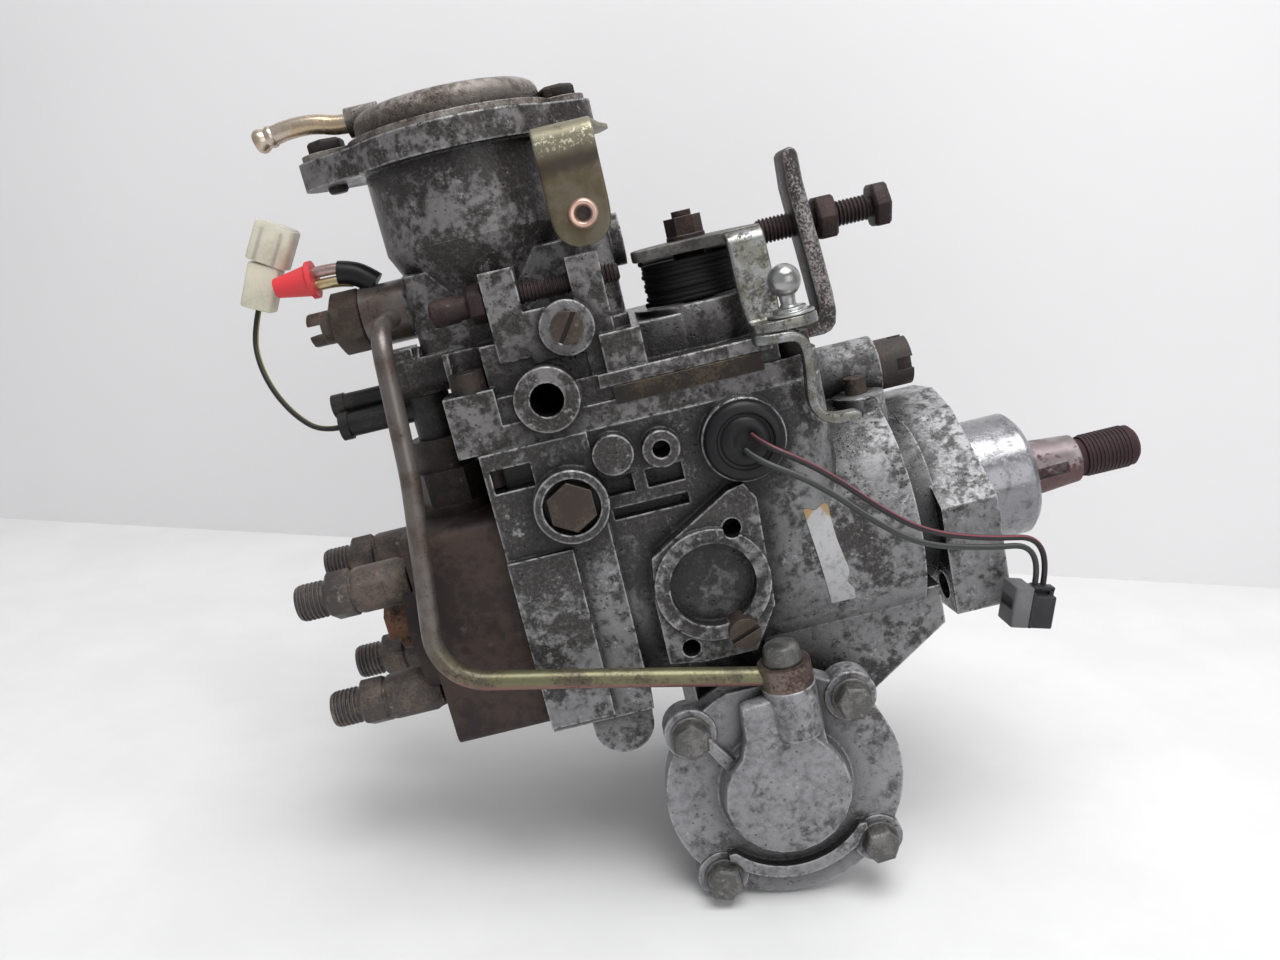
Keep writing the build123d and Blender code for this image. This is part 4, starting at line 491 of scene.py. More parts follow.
cap_plastic = rusted(
    "browned valve cap", (0.04, 0.034, 0.031), (0.072, 0.056, 0.048), (0.17, 0.15, 0.13), bare=0.4, metallic=0.2,
    rounding=0.4, size=5)


def paper():
    """A blank, scuffed label whose upper corners have gone amber."""
    f = Finish("torn blank label", roughness=0.55)
    high = f.axis(2)
    scuff = f.clouds(3, 5, 0.7, 0.9).between(0.5, 0.66)
    along = f.axis(0)
    away = f.node("ShaderNodeMath", {"operation": "ABSOLUTE"}, {0: along + 0.0573})
    aged = (high + away * 0.9 + f.clouds(5, 4, 0.6, 2.2) * 0.01 - 0.005).between(0.0158, 0.0168)
    tone = f.blend(scuff * 0.6, (0.42, 0.42, 0.43), (0.22, 0.215, 0.215))
    tone = f.blend(aged * 0.85, tone, (0.35, 0.225, 0.085))
    return f.wear(base_color=tone, normal=f.relief(f.clouds(0.8, 3, 0.6, 0.1), 0.02))


label_paper = paper()

WORN_BY = [
    (aluminium, "pump_housing"),
    (aluminium_top, "governor_cover compensator_body"),
    (gasket_metal, "gasket_plate"),
    (cap_metal, "compensator_cap"),
    (aluminium_bright, "timer_cover timer_end_cover"),
    (head_metal, "distributor_head"),
    (plug_metal, "centre_plug"),
    (rust_metal, "idle_screw lever_shaft max_speed_screw"),
    (zinc_lever, "throttle_lever"),
    (spring_metal, "return_spring plunger_springs timer_spring governor_spring"),
    (bar_metal, "stop_bar"),
    (brown_hexes, "banjo_bolts slotted_screws hexagon_plug"),
    (bolt_metal, "socket_bolts fuel_cut_solenoid"),
    (zinc_bolts, "hexagon_bolts"),
    (holder_metal, "delivery_valves"),
    (zinc_nipple, "boost_nipple leak_tubes"),
    (zinc_strap, "strap_bracket"),
    (zinc_pipe, "timer_pipe"),
    (red_plastic, "tube_cap"),
    (cap_plastic, "regulating_valve"),
    (oily_rubber, "connector_boots"),
    (nylon, "white_connector"),
    (black_rubber, "sensor_grommet solenoid_wire sensor_wire_a sensor_wire_b shaft_seal"),
    (grey_plastic, "sensor_connector"),
    (bush_bronze, "shaft_bush"),
    (inner_steel, "feed_pump_liner distributor_barrel governor_shaft feed_pump_rotor governor_drive_gear "
                  "coupling_disc cam_plate flyweight_cage flyweight_1 flyweight_2 flyweight_3 flyweight_4 "
                  "governor_sleeve governor_lever roller_ring"),
    (shaft_metal, "drive_shaft"),
    (bright_steel, "plunger control_sleeve timer_piston cam_rollers"),
]


def dress(obj, material):
    obj.data.materials.clear()
    obj.data.materials.append(material)


for node_finish, node_names in WORN_BY:
    for node_name in node_names.split():
        dress(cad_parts[node_name], node_finish)


# ---- modelling
def deselect():
    if bpy.context.object and bpy.context.object.mode != "OBJECT":
        bpy.ops.object.mode_set(mode="OBJECT")
    bpy.ops.object.select_all(action="DESELECT")


def take(obj):
    """Makes a piece the only one that the next operator works on."""
    deselect()
    obj.select_set(True)
    bpy.context.view_layer.objects.active = obj


ALONG = {"x": Matrix.Rotation(math.pi / 2, 4, "Y"), "-x": Matrix.Rotation(-math.pi / 2, 4, "Y"),
         "-y": Matrix.Rotation(math.pi / 2, 4, "X"), "z": Matrix.Identity(4)}
ORIGIN = (0, 0, 0)


def lathe(name, outline, place, way="z", facets=40, soft=0):
    """A turned piece from a circle that is extruded and scaled ring by ring; radius and height in mm."""
    deselect()
    bpy.ops.mesh.primitive_circle_add(vertices=facets, radius=outline[0][0] * MM, fill_type="NGON",
                                      location=(0, 0, outline[0][1] * MM))
    piece = bpy.context.object
    bpy.ops.object.transform_apply(location=True, rotation=True, scale=True)
    bpy.ops.object.mode_set(mode="EDIT")
    bpy.ops.mesh.select_all(action="SELECT")
    radius, height = outline[0]
    for next_radius, next_height in outline[1:]:
        bpy.ops.mesh.extrude_region_move(TRANSFORM_OT_translate={"value": (0, 0, (next_height - height) * MM)})
        share = next_radius / radius
        bpy.ops.transform.resize(value=(share, share, 1), center_override=(0, 0, next_height * MM))
        radius, height = next_radius, next_height
    bpy.ops.object.mode_set(mode="OBJECT")
    outward(piece)
    piece.name = name
    piece.data.transform(at(place, way))
    if soft:
        finish_edges(piece, soft)
    return smoothed(piece)


def at(place, way="z", degrees=0):
    """The matrix that stands a piece on a place in mm, along an axis and turned about it."""
    return Matrix.Translation(Vector(place) * MM) @ ALONG[way] @ Matrix.Rotation(math.radians(degrees), 4, "Z")


def outward(piece):
    """Turns all faces of a closed piece outwards."""
    take(piece)
    bpy.ops.object.mode_set(mode="EDIT")
    bpy.ops.mesh.select_all(action="SELECT")
    bpy.ops.mesh.normals_make_consistent(inside=False)
    bpy.ops.object.mode_set(mode="OBJECT")


def smoothed(piece, degrees=38):
    take(piece)
    bpy.ops.object.shade_smooth_by_angle(angle=math.radians(degrees))
    return piece


def applied(piece, kind, **settings):
    """Adds a modifier with its settings, and applies it."""
    take(piece)
    modifier = piece.modifiers.new(kind.lower(), kind)
    for name, setting in settings.items():
        setattr(modifier, name, setting)
    bpy.ops.object.modifier_apply(modifier=modifier.name)


def finish_edges(piece, width, angle=35):
    applied(piece, "BEVEL", width=width * MM, segments=2, limit_method="ANGLE", angle_limit=math.radians(angle))


def threaded(start, end, crest, root, pitch):
    """The outline of a thread as rings, from start to end; lengths in mm."""
    outline = []
    for i in range(int((end - start) / pitch)):
        low = start + i * pitch
        for radius, share in [(root, 0.12), (crest, 0.45), (crest, 0.6), (root, 0.93)]:
            outline.append((radius, low + share * pitch))
    return outline


def added(piece, slot, material, *nodes, body="pump"):
    """Dresses a finished piece, and makes it ride on its body and stand for its nodes."""
    dress(piece, material)
    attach(piece, body)
    if nodes:
        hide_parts(*nodes)
    return piece


def line(name, points, radius, facets=6):
    """A round wire or tube on one smooth line; the points are in mm."""
    data = bpy.data.curves.new(name, "CURVE")
    data.dimensions = "3D"
    data.bevel_depth = radius * MM
    data.bevel_resolution = facets
    data.use_fill_caps = True
    spline = data.splines.new("NURBS")
    spline.points.add(len(points) - 1)
    for point, place in zip(spline.points, points):
        point.co = (*(c * MM for c in place), 1)
    spline.order_u = 3
    spline.use_endpoint_u = True
    spline.resolution_u = 10
    return linked(name, data)


def round_points(middle, radius, angles):
    """Places on a circle in mm, at angles in degrees."""
    turns = [math.radians(angle) for angle in angles]
    return [(middle[0] + radius * math.cos(turn), middle[1] + radius * math.sin(turn)) for turn in turns]


def joined(name, *parts):
    """One piece from several; it is the first of them, with a new name."""
    deselect()
    for part in parts:
        part.select_set(True)
    bpy.context.view_layer.objects.active = parts[0]
    bpy.ops.object.join()
    parts[0].name = name
    return parts[0]


def copied(piece, name, offset):
    """The same piece again, an offset in mm away."""
    made = linked(name, piece.data.copy())
    made.data.transform(at(offset))
    return made


def pressed(name, outline, low, high, across="z", corner=0, soft=0.4):
    """A plate: a circle whose points go to an outline, its corners rounded, then thickened; lengths in mm."""
    deselect()
    bpy.ops.mesh.primitive_circle_add(vertices=len(outline), radius=1, fill_type="NGON")
    piece = bpy.context.object
    for vertex, (a, b) in zip(piece.data.vertices, outline):
        vertex.co = Vector((a, b, low)) * MM
    bpy.ops.object.mode_set(mode="EDIT")
    bpy.ops.mesh.select_all(action="SELECT")
    if corner:
        bpy.ops.mesh.bevel(offset=corner * MM, segments=4, affect="VERTICES", clamp_overlap=True)
        bpy.ops.mesh.select_all(action="SELECT")
    bpy.ops.mesh.extrude_region_move(TRANSFORM_OT_translate={"value": (0, 0, (high - low) * MM)})
    bpy.ops.object.mode_set(mode="OBJECT")
    if across == "y":
        piece.data.transform(Matrix(((1, 0, 0, 0), (0, 0, 1, 0), (0, 1, 0, 0), (0, 0, 0, 1))))
    outward(piece)
    piece.name = name
    if soft:
        finish_edges(piece, soft, 50)
    return smoothed(piece)


def ribbon(name, rows, thickness):
    """A bent strip: a grid whose points go to rows of places in mm, given a thickness and smoothed."""
    deselect()
    bpy.ops.mesh.primitive_grid_add(x_subdivisions=len(rows[0]) - 1, y_subdivisions=len(rows) - 1, size=1)
    piece = bpy.context.object
    places = [place for row in rows for place in row]
    for vertex, place in zip(piece.data.vertices, places):
        vertex.co = Vector(place) * MM
    applied(piece, "SOLIDIFY", thickness=thickness * MM, offset=0)
    applied(piece, "SUBSURF", levels=2, render_levels=2)
    outward(piece)
    piece.name = name
    return smoothed(piece, 50)


def leant(piece, degrees, place):
    """Turns a piece about Y, and puts it in its place in mm."""
    piece.data.transform(at(place) @ Matrix.Rotation(math.radians(degrees), 4, "Y"))
    return piece


def moulded_block(name, size, soft=0.6, cut=0, middle=(0, 0, 0)):
    """A box whose upright edges are cut off and whose others are rounded; lengths in mm."""
    a, b, c = (0.5 * side for side in size)
    piece = pressed(name, [(-a, -b), (a, -b), (a, b), (-a, b)], -c, c, corner=cut, soft=soft)
    piece.data.transform(at(middle))
    return piece


# ---- connectors
def make_sensor_connector():
    """The two halves of the sensor's plug: grey at the left, black with a latch bar at the right."""
    place, lean = (1.2, -42, -28.5), 17
    grey = moulded_block("sensor_plug_grey_half", (5.8, 10, 13), 0.5, 0.8, (-3.8, 0, 0))
    step = moulded_block("step", (1.6, 8.4, 4.2), 0.4, 0.3, (-5.9, 0, 0.6))
    leant(joined("sensor_plug_grey_half", grey, step), lean, place)
    added(grey, "grey_plastic", grey_plastic, "sensor_connector")
    black = moulded_block("sensor_plug_black_half", (7.2, 9.6, 10.4), 0.5, 0.8, (3, 0, -1.3))
    latch = moulded_block("latch", (11.6, 3.4, 1.3), 0.35, 0.3, (0.8, -1, 5.7))
    post = moulded_block("post", (1.4, 3.4, 3), 0.3, 0.2, (5.7, -1, 4.4))
    lip = moulded_block("lip", (1, 9.9, 11.4), 0.3, 0.3, (-0.6, 0, -0.8))
    seal = moulded_block("seal", (5.2, 3.6, 3.2), 0.6, 0.8, (2.5, 0, 4.8))
    leant(joined("sensor_plug_black_half", black, latch, post, lip, seal), lean, place)
    added(black, "grey_plastic", black_plastic, "sensor_connector")
    return [grey, black]


def make_white_connector():
    """The milky plug: a narrow wire end and a wider mouth with grooves and a stepped side."""
    mouth = (33, (-201.8, 3, 128.9))
    low = moulded_block("nylon_plug", (10.3, 7.6, 14.4), 0.9, 1.6)
    leant(low, 28, (-208.9, 3, 117.2))
    top = moulded_block("mouth", (13, 9, 12.6), 0.7, 2.2)
    leant(top, *mouth)
    rim = moulded_block("rim", (11.4, 7.6, 1.2), 0.25, 1.8, (0, 0, 6))
    leant(rim, *mouth)
    parts = [low, top, rim]
    for offset in (-3.4, 2.6):
        rib = moulded_block("rib", (0.9, 0.9, 10.4), 0.25, 0, (offset, -4.1, -0.6))
        parts.append(leant(rib, *mouth))
    return [added(joined("nylon_plug", *parts), "white_nylon", nylon, "white_connector")]


sensor_plug = make_sensor_connector()
nylon_plug = make_white_connector()


# ---- wires
def striped(name, tint, stripe):
    """Wire insulation with one thin stripe along it, on the wire's own length and round."""
    f = Finish(name, roughness=0.42)
    around = f.axis(1, f.node("ShaderNodeTexCoord", out="UV"))
    near = around.between(0.12, 0.14) * around.between(0.24, 0.22)
    far = around.between(0.62, 0.64) * around.between(0.74, 0.72)
    band = near.highest(far)
    fine = f.clouds(1.2, 4, 0.6, 0.7)
    return f.wear(base_color=f.blend(band, tint, stripe), normal=f.relief(fine, 0.02))


black_yellow = striped("black wire with a yellow line", (0.016, 0.016, 0.015), (0.33, 0.3, 0.09))
black_red = striped("black wire with a red line", (0.024, 0.02, 0.021), (0.2, 0.055, 0.07))
grey_white = striped("grey wire with a pale line", (0.04, 0.043, 0.042), (0.12, 0.12, 0.115))

SOLENOID_WIRE = [(-195, -8, 69.6), (-201.5, -8, 69.6), (-208.4, -7.4, 76.4), (-213.6, -5, 86),
                 (-216.2, -1, 95.5), (-216.06, 3, 103.74), (-212.3, 3, 110.8)]
SENSOR_WIRE_A = [(-73, -47.5, 45), (-73, -58.4, 45), (-57.5, -60.4, 34), (-42, -57.2, 17),
                 (-29, -51.7, 5.5), (-10, -45.2, -3.2), (11.24, -42, -8.67), (6.73, -42, -23.4)]
SENSOR_WIRE_B = [(-75.5, -47.5, 41), (-75.5, -58.4, 41), (-59.7, -60.4, 30.6), (-44.2, -57.2, 13.6),
                 (-31.2, -51.7, 2.1), (-11.1, -45.2, -5.92), (7.99, -42, -10.39), (4.25, -42, -22.63)]
WIRE_RADIUS = 0.9                # mm


def wire(name, points, material, slot, node):
    """An insulated wire from its exit to its plug; the points are in mm."""
    piece = added(line(name, points, WIRE_RADIUS), slot, material, node)


wire("terminal_wire", SOLENOID_WIRE, black_yellow, "wire_black", "solenoid_wire")
wire("upper_sensor_wire", SENSOR_WIRE_A, black_red, "wire_pink", "sensor_wire_a")
wire("lower_sensor_wire", SENSOR_WIRE_B, grey_white, "wire_grey", "sensor_wire_b")


# ---- fittings of the distributor head
def hexagon(name, across, start, end, place, way, chamfer, turn=0):
    """A hexagon with its corners taken down at both faces."""
    corner = across / math.sqrt(3)
    outline = [(0.87 * corner, start), (corner, start + chamfer), (corner, end - chamfer), (0.87 * corner, end)]
    piece = lathe(name, outline, ORIGIN, "z", 6, 0.15)
    piece.data.transform(at(place, way, turn))
    return piece


def make_delivery_holders():
    """Four outlet holders: barrel, hexagon collar, threaded nose and the pipe's cone seat."""
    seat = (-188, 19, 19)
    outline = [(6.4, -3), (7, -0.6), (7.5, 0.2), (7.5, 13.5), (7.2, 14.6), (6.3, 15.6), (6.1, 17)]
    barrel = lathe("delivery_holder_1", outline, seat, "-x", 40, 0.15)
    collar = hexagon("collar", 14, 15, 23.6, seat, "-x", 0.9, 30)
    nose = [(6.6, 22.8), (6.3, 23.8), (5.2, 24.2), (5.2, 24.8)] + threaded(25, 32, 6, 5.35, 1.4)
    nose += [(5.9, 32.4), (5.4, 33.5), (4.3, 33.5), (1.6, 30.4), (1.5, 26)]
    tip = lathe("nose", nose, seat, "-x")
    first = joined("delivery_holder_1", barrel, collar, tip)
    holders = [first]
    for number, offset in enumerate([(0, -38, 0), (0, 0, -38), (0, -38, -38)], start=2):
        holders.append(copied(first, f"delivery_holder_{number}", offset))
    for holder in holders:
        added(holder, "holder_steel", holder_metal, "delivery_valves")


make_delivery_holders()


# ---- screws and bolts
def make_idle_screw():
    place = (-155, -31, 97.8)
    rod = [(2.2, 0), (2.9, 0.5), (2.9, 11)] + threaded(11.2, 55.2, 3, 2.45, 1.1) + [(2.6, 55.4), (1.8, 56)]
    screw = lathe("rod", rod, place, "x", 28)
    nut = hexagon("nut", 10, 11.6, 16.4, place, "x", 0.6, 30)
    collar = lathe("end", [(3.2, 0.4), (4, 1.2), (4, 8), (3.4, 9), (3.4, 11.6)], place, "x", 28, 0.2)
    added(joined("idle_stop_screw", screw, nut, collar), "rusty_steel", thread_metal, "idle_screw")


def make_max_screw():
    place = (-53, -3, 98.5)
    rod = [(3, 0), (3.7, 0.8)] + threaded(1, 36.4, 4, 3.35, 1.25) + [(3.4, 36.6), (3.4, 37.4)]
    screw = lathe("rod", rod, place, "x", 32)
    head = hexagon("head", 13, 37, 42.5, place, "x", 0.9)
    nut = hexagon("nut", 13, 18.8, 25.3, place, "x", 0.9)
    added(joined("maximum_speed_screw", screw, head, nut), "rusty_steel", thread_metal, "max_speed_screw")


def bolt_head(name, across, height, place, way, washer=0, turn=0):
    """A bolt's head with a slightly domed top, on a washer where it has one, and the shank below."""
    corner = across / math.sqrt(3)
    top = washer + height
    outline = [(0.96 * corner, washer), (corner, washer + 0.3), (corner, top - 1), (0.86 * corner, top - 0.2),
               (0.5 * corner, top)]
    parts = [lathe(name, outline, ORIGIN, "z", 6, 0.18),
             lathe("shank", [(2.4, -12), (3, -11.3), (3, 0.4)], ORIGIN, "z", 24)]
    if washer:
        ring = [(5.9, 0), (6.2, 0.3), (6.2, washer - 0.3), (5.9, washer)]
        parts.append(lathe("washer", ring, ORIGIN, "z", 36, 0.1))
    bolt = joined(name, *parts)
    bolt.data.transform(at(place, way, turn))
    return bolt


TIMER_SEAT = -51.5               # Y of the timer cover's face, in mm


def make_hexagon_bolts():
    for number, (x, z) in enumerate([(-60, -40), (-60, -90), (-110, -40), (-110, -90)], start=1):
        bolt = bolt_head(f"timer_cover_bolt_{number}", 10, 5, (x, TIMER_SEAT, z), "-y", 1.4, 17 * number)
        added(bolt, "dark_bolts", zinc_bolts, "hexagon_bolts")
    for number, x in enumerate([-176.5, -104.5], start=1):
        bolt = bolt_head(f"cap_bolt_{number}", 10, 4, (x, 0, 151), "z", 0, 30 + 25 * number)
        added(bolt, "dark_bolts", bolt_metal, "hexagon_bolts")


make_idle_screw()
make_max_screw()
make_hexagon_bolts()

shaft_thread = [(6.7, 0)] + threaded(0.2, 16.4, 7.35, 6.7, 1.35) + [(6.7, 16.6)]
ridges = lathe("shaft_thread_ridges", shaft_thread, (43.4, 0, 0), "x", 48)
added(ridges, "turned_steel", thread_metal, body="drive")


# ---- throttle lever, its spring and the stop bar
def make_throttle_lever():
    """The lever's plate, its arm that is bent down, curled under and hung in an S, and the ball stud."""
    outline = [(-94, -27), (-86, -27.5), (-78, -29.5), (-71, -34), (-68, -35.5), (-57, -35.5), (-56.5, -28),
               (-62, -12), (-66, -5), (-74, -2), (-83, -3), (-89, -9), (-94.5, -22)]
    plate = pressed("throttle_lever_plate", outline, 98.5, 102, corner=2, soft=0.7)
    added(plate, "lever_steel", lever_plate_metal, "throttle_lever", body="throttle")
    rows = []
    for y, z, x0, x1 in [(-31.5, 100.2, -68, -57), (-34.5, 100.2, -68, -57), (-37, 99.4, -68, -57),
                         (-38, 97, -68, -57), (-38.1, 90, -68, -56.8), (-38.1, 82, -67.6, -56.6),
                         (-38.2, 76.6, -67, -57), (-39.2, 74.2, -66.6, -56.5), (-41.6, 73.5, -66.5, -55),
                         (-43.5, 73.5, -65.5, -54.5)]:
        rows.append([(x0, y, z), (x0 + 0.5, y, z), (0.5 * (x0 + x1), y, z), (x1 - 0.5, y, z), (x1, y, z)])
    flange = ribbon("throttle_lever_flange", rows, 3)
    outline = [(-66.5, -45), (-62, -47), (-52, -47), (-47, -43), (-47, -34), (-51, -31), (-56, -33), (-58, -36),
               (-66.5, -37)]
    arm = pressed("arm", outline, 72, 75, corner=2.2, soft=0.6)
    link = []
    for x, z, half in [(-67.2, 70.9, 1.6), (-66.2, 70.8, 3.6), (-62.5, 70.5, 4.7), (-58, 70.3, 4.5),
                       (-55.2, 69.8, 3.8), (-53.2, 68, 3), (-52.4, 63.5, 2.5), (-52.8, 57, 2.3),
                       (-53.7, 52, 2.3), (-53.3, 48, 2.3), (-51.4, 45, 2.4), (-48, 43.6, 2.5),
                       (-44.2, 43.4, 2.6), (-40.4, 43.4, 2.5)]:
        middle = -44.3 + (0.4 if z > 69 else 0)
        link.append([(x, middle + half * share, z) for share in (-1, -0.85, 0, 0.85, 1)])
    strip = ribbon("strip", link, 2.9)
    added(joined("throttle_lever_arm", flange, arm, strip), "lever_steel", zinc_lever, "throttle_lever",
          body="throttle")
    x, y = -54.2, -39.5
    outline = [(6.5, 0), (7, 0.3), (7, 0.9), (6.6, 1.2), (5.2, 1.2), (5, 1.5), (5, 2.2), (4.6, 2.5),
               (2.8, 2.5), (2.2, 3.4), (2.2, 6)]
    washer = lathe("linkage_washer", outline, (x, y, 75), "z", 48)
    outline = [(2.2, -6)] + round_points((0, 0), 4.8, range(-60, 90, 10)) + [(0.3, 4.8)]
    knob = lathe("linkage_ball", outline, (x, y, 85), "z")
    added(joined("linkage_ball_stud", knob, washer), "lever_steel", stud_metal, "throttle_lever", body="throttle")


def make_return_spring():
    """The black coil under the lever, nine close turns and a leg to the lever."""
    turns, steps, radius = 9, 14, 15.3
    points = [(-92.4, -15, 84.9)]
    for i in range(turns * steps):
        turn = 2 * math.pi * i / steps + 3.4
        sway = 0.35 * math.sin(2.3 * i / steps)
        points.append((-76 + (radius + sway) * math.cos(turn), -12 + (radius + sway) * math.sin(turn),
                       85.1 + 12.3 * i / (turns * steps)))
    added(line("lever_return_spring", points, 0.85, 3), "spring_steel", spring_metal, "return_spring")


def make_stop_bar():
    """The upright bar that the maximum-speed screw goes through, bent over at its foot."""
    outline = [(-41.9, 119.5), (-41.2, 121), (-39.2, 121.5), (-37.4, 120.8), (-36.9, 119), (-36.8, 111),
               (-35.9, 101), (-34.6, 87), (-33.6, 75), (-33.5, 69.5), (-34.4, 65.6), (-36.2, 63.7), (-38.6, 63),
               (-49.8, 63), (-49.8, 68), (-41.6, 68.1), (-39.8, 69), (-39, 71.5), (-39.6, 80), (-41, 96),
               (-42.2, 110)]
    bar = pressed("maximum_stop_bar", outline, -10, 4, across="y", soft=1.1)
    added(bar, "rusty_steel", bar_metal, "stop_bar")


make_throttle_lever()
make_return_spring()
make_stop_bar()


# ---- strap, nipple, label, grommet
STRAP_MIDDLE = -106.1            # X, in mm


def make_strap():
    """The plated strap that hooks under the ear, bulges over its edge and hangs with a copper eyelet."""
    rows = []
    for y, z, half in [(-27, 140.2, 8.6), (-31.5, 140.2, 8.6), (-35.2, 139.7, 8.65), (-37.6, 137.6, 8.65),
                       (-38, 134.6, 8.65), (-37.2, 131.6, 8.65), (-36.2, 129.6, 8.65), (-36.3, 128, 8.65),
                       (-36.9, 126, 8.65), (-36.9, 120, 8.65), (-36.9, 114.6, 8.6), (-36.9, 111.2, 7.9),
                       (-36.9, 108.6, 6), (-36.9, 107.2, 3.6), (-36.9, 106.8, 1.6)]:
        rows.append([(STRAP_MIDDLE + half * share, y, z) for share in (-1, -0.9, -0.45, 0, 0.45, 0.9, 1)])
    strap = ribbon("plated_strap", rows, 1.5)
    outline = [(-114.8, -29), (-114.8, -18), (-108, -12), (-108, 8), (-94, 8), (-91, 0), (-94, -10), (-97.5, -29)]
    leg = pressed("leg", outline, 139.45, 140.95, corner=1.5, soft=0.3)
    added(joined("plated_strap", strap, leg), "zinc_plated", zinc_strap, "strap_bracket")
    place = (-105.3, -37, 115.5)
    outline = [(1.9, 0.5), (2.1, 1.4), (2.7, 2.1), (3.5, 2.2), (4.1, 1.7), (4.3, 0.9), (4.3, 0.4)]
    ring = lathe("strap_eyelet", outline, place, "-y")
    added(ring, "zinc_plated", eyelet_copper, "strap_bracket")
    # Painted shade: a dark plug fills the eyelet's hole, standing for the dark seen through it.
    hole = lathe("eyelet_hole_shade", [(1.9, 0.2), (2, 1.1), (1.2, 1.15)], place, "-y", 24)
    added(hole, "dark_bolts", bolt_metal, "strap_bracket")


def make_nipple():
    """The curved boost tube with a rolled ring and a bulb at its end."""
    tube = line("boost_tube", [(-167.5, 0, 158), (-172, 0, 158.2), (-177, 0, 159.9), (-183, 0, 160.4),
                               (-189, 0, 159.9), (-194, 0, 158.8)], 2.9, 8)
    added(tube, "zinc_plated", zinc_nipple, "boost_nipple")
    outline = [(2.6, -3.2), (3.2, -2.6), (3.35, -1.6), (2.95, -0.6), (3.3, 0.2), (3.7, 1.2), (3.6, 2.2), (2.9, 3.1),
               (2.4, 3.3), (1.9, 3.2), (1.7, 1)]
    bulb = lathe("boost_bulb", outline, ORIGIN, "-x")
    leant(bulb, -11, (-193.5, 0, 158.9))
    added(bulb, "zinc_plated", zinc_nipple, "boost_nipple")


BODY_RADIUS = 40.18              # of the housing under the label, in mm
LABEL_GAP, LABEL_THICKNESS = 0.15, 0.12


def make_label():
    """A blank torn label that lies on the round of the body and follows its dip."""
    deselect()
    bpy.ops.mesh.primitive_grid_add(x_subdivisions=14, y_subdivisions=30, size=1)
    piece = bpy.context.object
    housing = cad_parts["pump_housing"]
    for vertex in piece.data.vertices:
        across, along = vertex.co.x + 0.5, vertex.co.y + 0.5
        notch = 1.6 * math.exp(-((along - 0.22) / 0.07) ** 2)
        tear = (0.5 * math.sin(7 * along) - notch) * max(0, across - 0.55) * 2.2
        ragged = 0.9 * math.sin(9 * across + 0.6) * max(0, along - 0.9) * 10
        x = -61.3 + 7.6 * across + 3.6 * (1 - along) + tear
        angle = math.radians(-22.5 + 47 * along + ragged)
        outside = Vector((x, -80, BODY_RADIUS * math.sin(angle))) * MM
        spot = housing.ray_cast(outside, Vector((0, 1, 0)))[1]
        vertex.co = spot - Vector((0, LABEL_GAP * MM, 0))
    applied(piece, "SOLIDIFY", thickness=LABEL_THICKNESS * MM, offset=1)
    outward(piece)
    piece.name = "blank_label"
    added(piece, "white_nylon", label_paper)


def make_grommet():
    outline = [(11.4, -1), (12, 0), (11.9, 1.6), (11.2, 2.8), (10, 3.3), (8.6, 3.3), (8.2, 2.6), (7.4, 2.4),
               (6.9, 3), (5.6, 3.5), (3.6, 3.5), (3, 3.1), (2, 3.1)]
    grommet = lathe("wire_grommet", outline, (-75, -44, 43.5), "-y", 56)
    added(grommet, "black_rubber", black_rubber, "sensor_grommet")


def make_leak_tubes():
    """A black sleeve on the top eye, and the two thin tubes that it holds together."""
    for name, radius, material, points in [
            ("tube_sleeve", 3.7, black_rubber,
             [(-172.6, -5, 110.2), (-175, -5, 112.6), (-178.6, -5, 115), (-182.8, -5, 115.9)]),
            ("upper_leak_tube", 1.75, tube_pink,
             [(-177.5, -5, 115.2), (-181.5, -5, 117.2), (-186, -5, 117.6), (-190.6, -5, 117.55)]),
            ("lower_leak_tube", 1.75, tube_yellow,
             [(-179, -5, 112.4), (-182.5, -5, 113.4), (-186.5, -5, 113.7), (-190.6, -5, 113.65)])]:
        added(line(name, points, radius, 8), "tube_plastic", material, "leak_tubes")


def make_banjo_bolts():
    """The low banjo's small domed bolt, and the top one's hexagon with its slotted end."""
    outline = [(5.2, -9), (5.2, 0), (5.9, 0.2), (6, 1), (5.7, 1.4), (5.5, 4.2), (5, 5.4), (3.9, 6),
               (1.8, 6.2)]
    low = lathe("low_banjo_bolt", outline, (-78, -52.5, -23), "z", 40, 0.2)
    added(low, "banjo_steel", zinc_bolts, "banjo_bolts")
    place = (-196, -5, 100.5)
    head = hexagon("top_banjo_bolt", 17, 8, 18, place, "x", 0.9, 30)
    neck = lathe("neck", [(4.6, 4), (5.3, 4.6), (5.3, 8.4)], place, "x", 36, 0.2)
    shank = lathe("shank", [(5, 17.5), (5, 40)], place, "x", 36)
    outline = [(-4.9, 1.5), (4.9, 1.5), (4.1, 3.3), (2.2, 4.8), (0, 5.25), (-2.2, 4.8), (-4.1, 3.3)]
    prongs = []
    for side in (-1, 1):
        prong = pressed("prong", outline, 0, 5, soft=0.5)
        prong.data.transform(at(place, "x", 90 * side))
        prongs.append(prong)
    added(joined("top_banjo_bolt", head, neck, shank, *prongs), "banjo_steel", brown_hexes, "banjo_bolts")


def make_timer_forms():
    """The keyhole form that runs from the oil port down into the round of the timer cover, and a rib beside it."""
    outline = [(-94, -33), (-75, -31.5), (-75, -42), (-73, -48)]
    outline += round_points((-85, -65), 19.8, range(36, -217, -18)) + [(-97, -49.5), (-94.5, -43)]
    form = pressed("timer_cover_form", outline, -57.4, -50.5, across="y", soft=1.9)
    outline = [(-107.5, -43.5), (-104.5, -41.5), (-97.5, -52), (-100.5, -56.5)]
    rib = pressed("rib", outline, -54.2, -50.5, across="y", soft=1.2)
    added(joined("timer_cover_form", form, rib), "cast_aluminium", aluminium_bright)


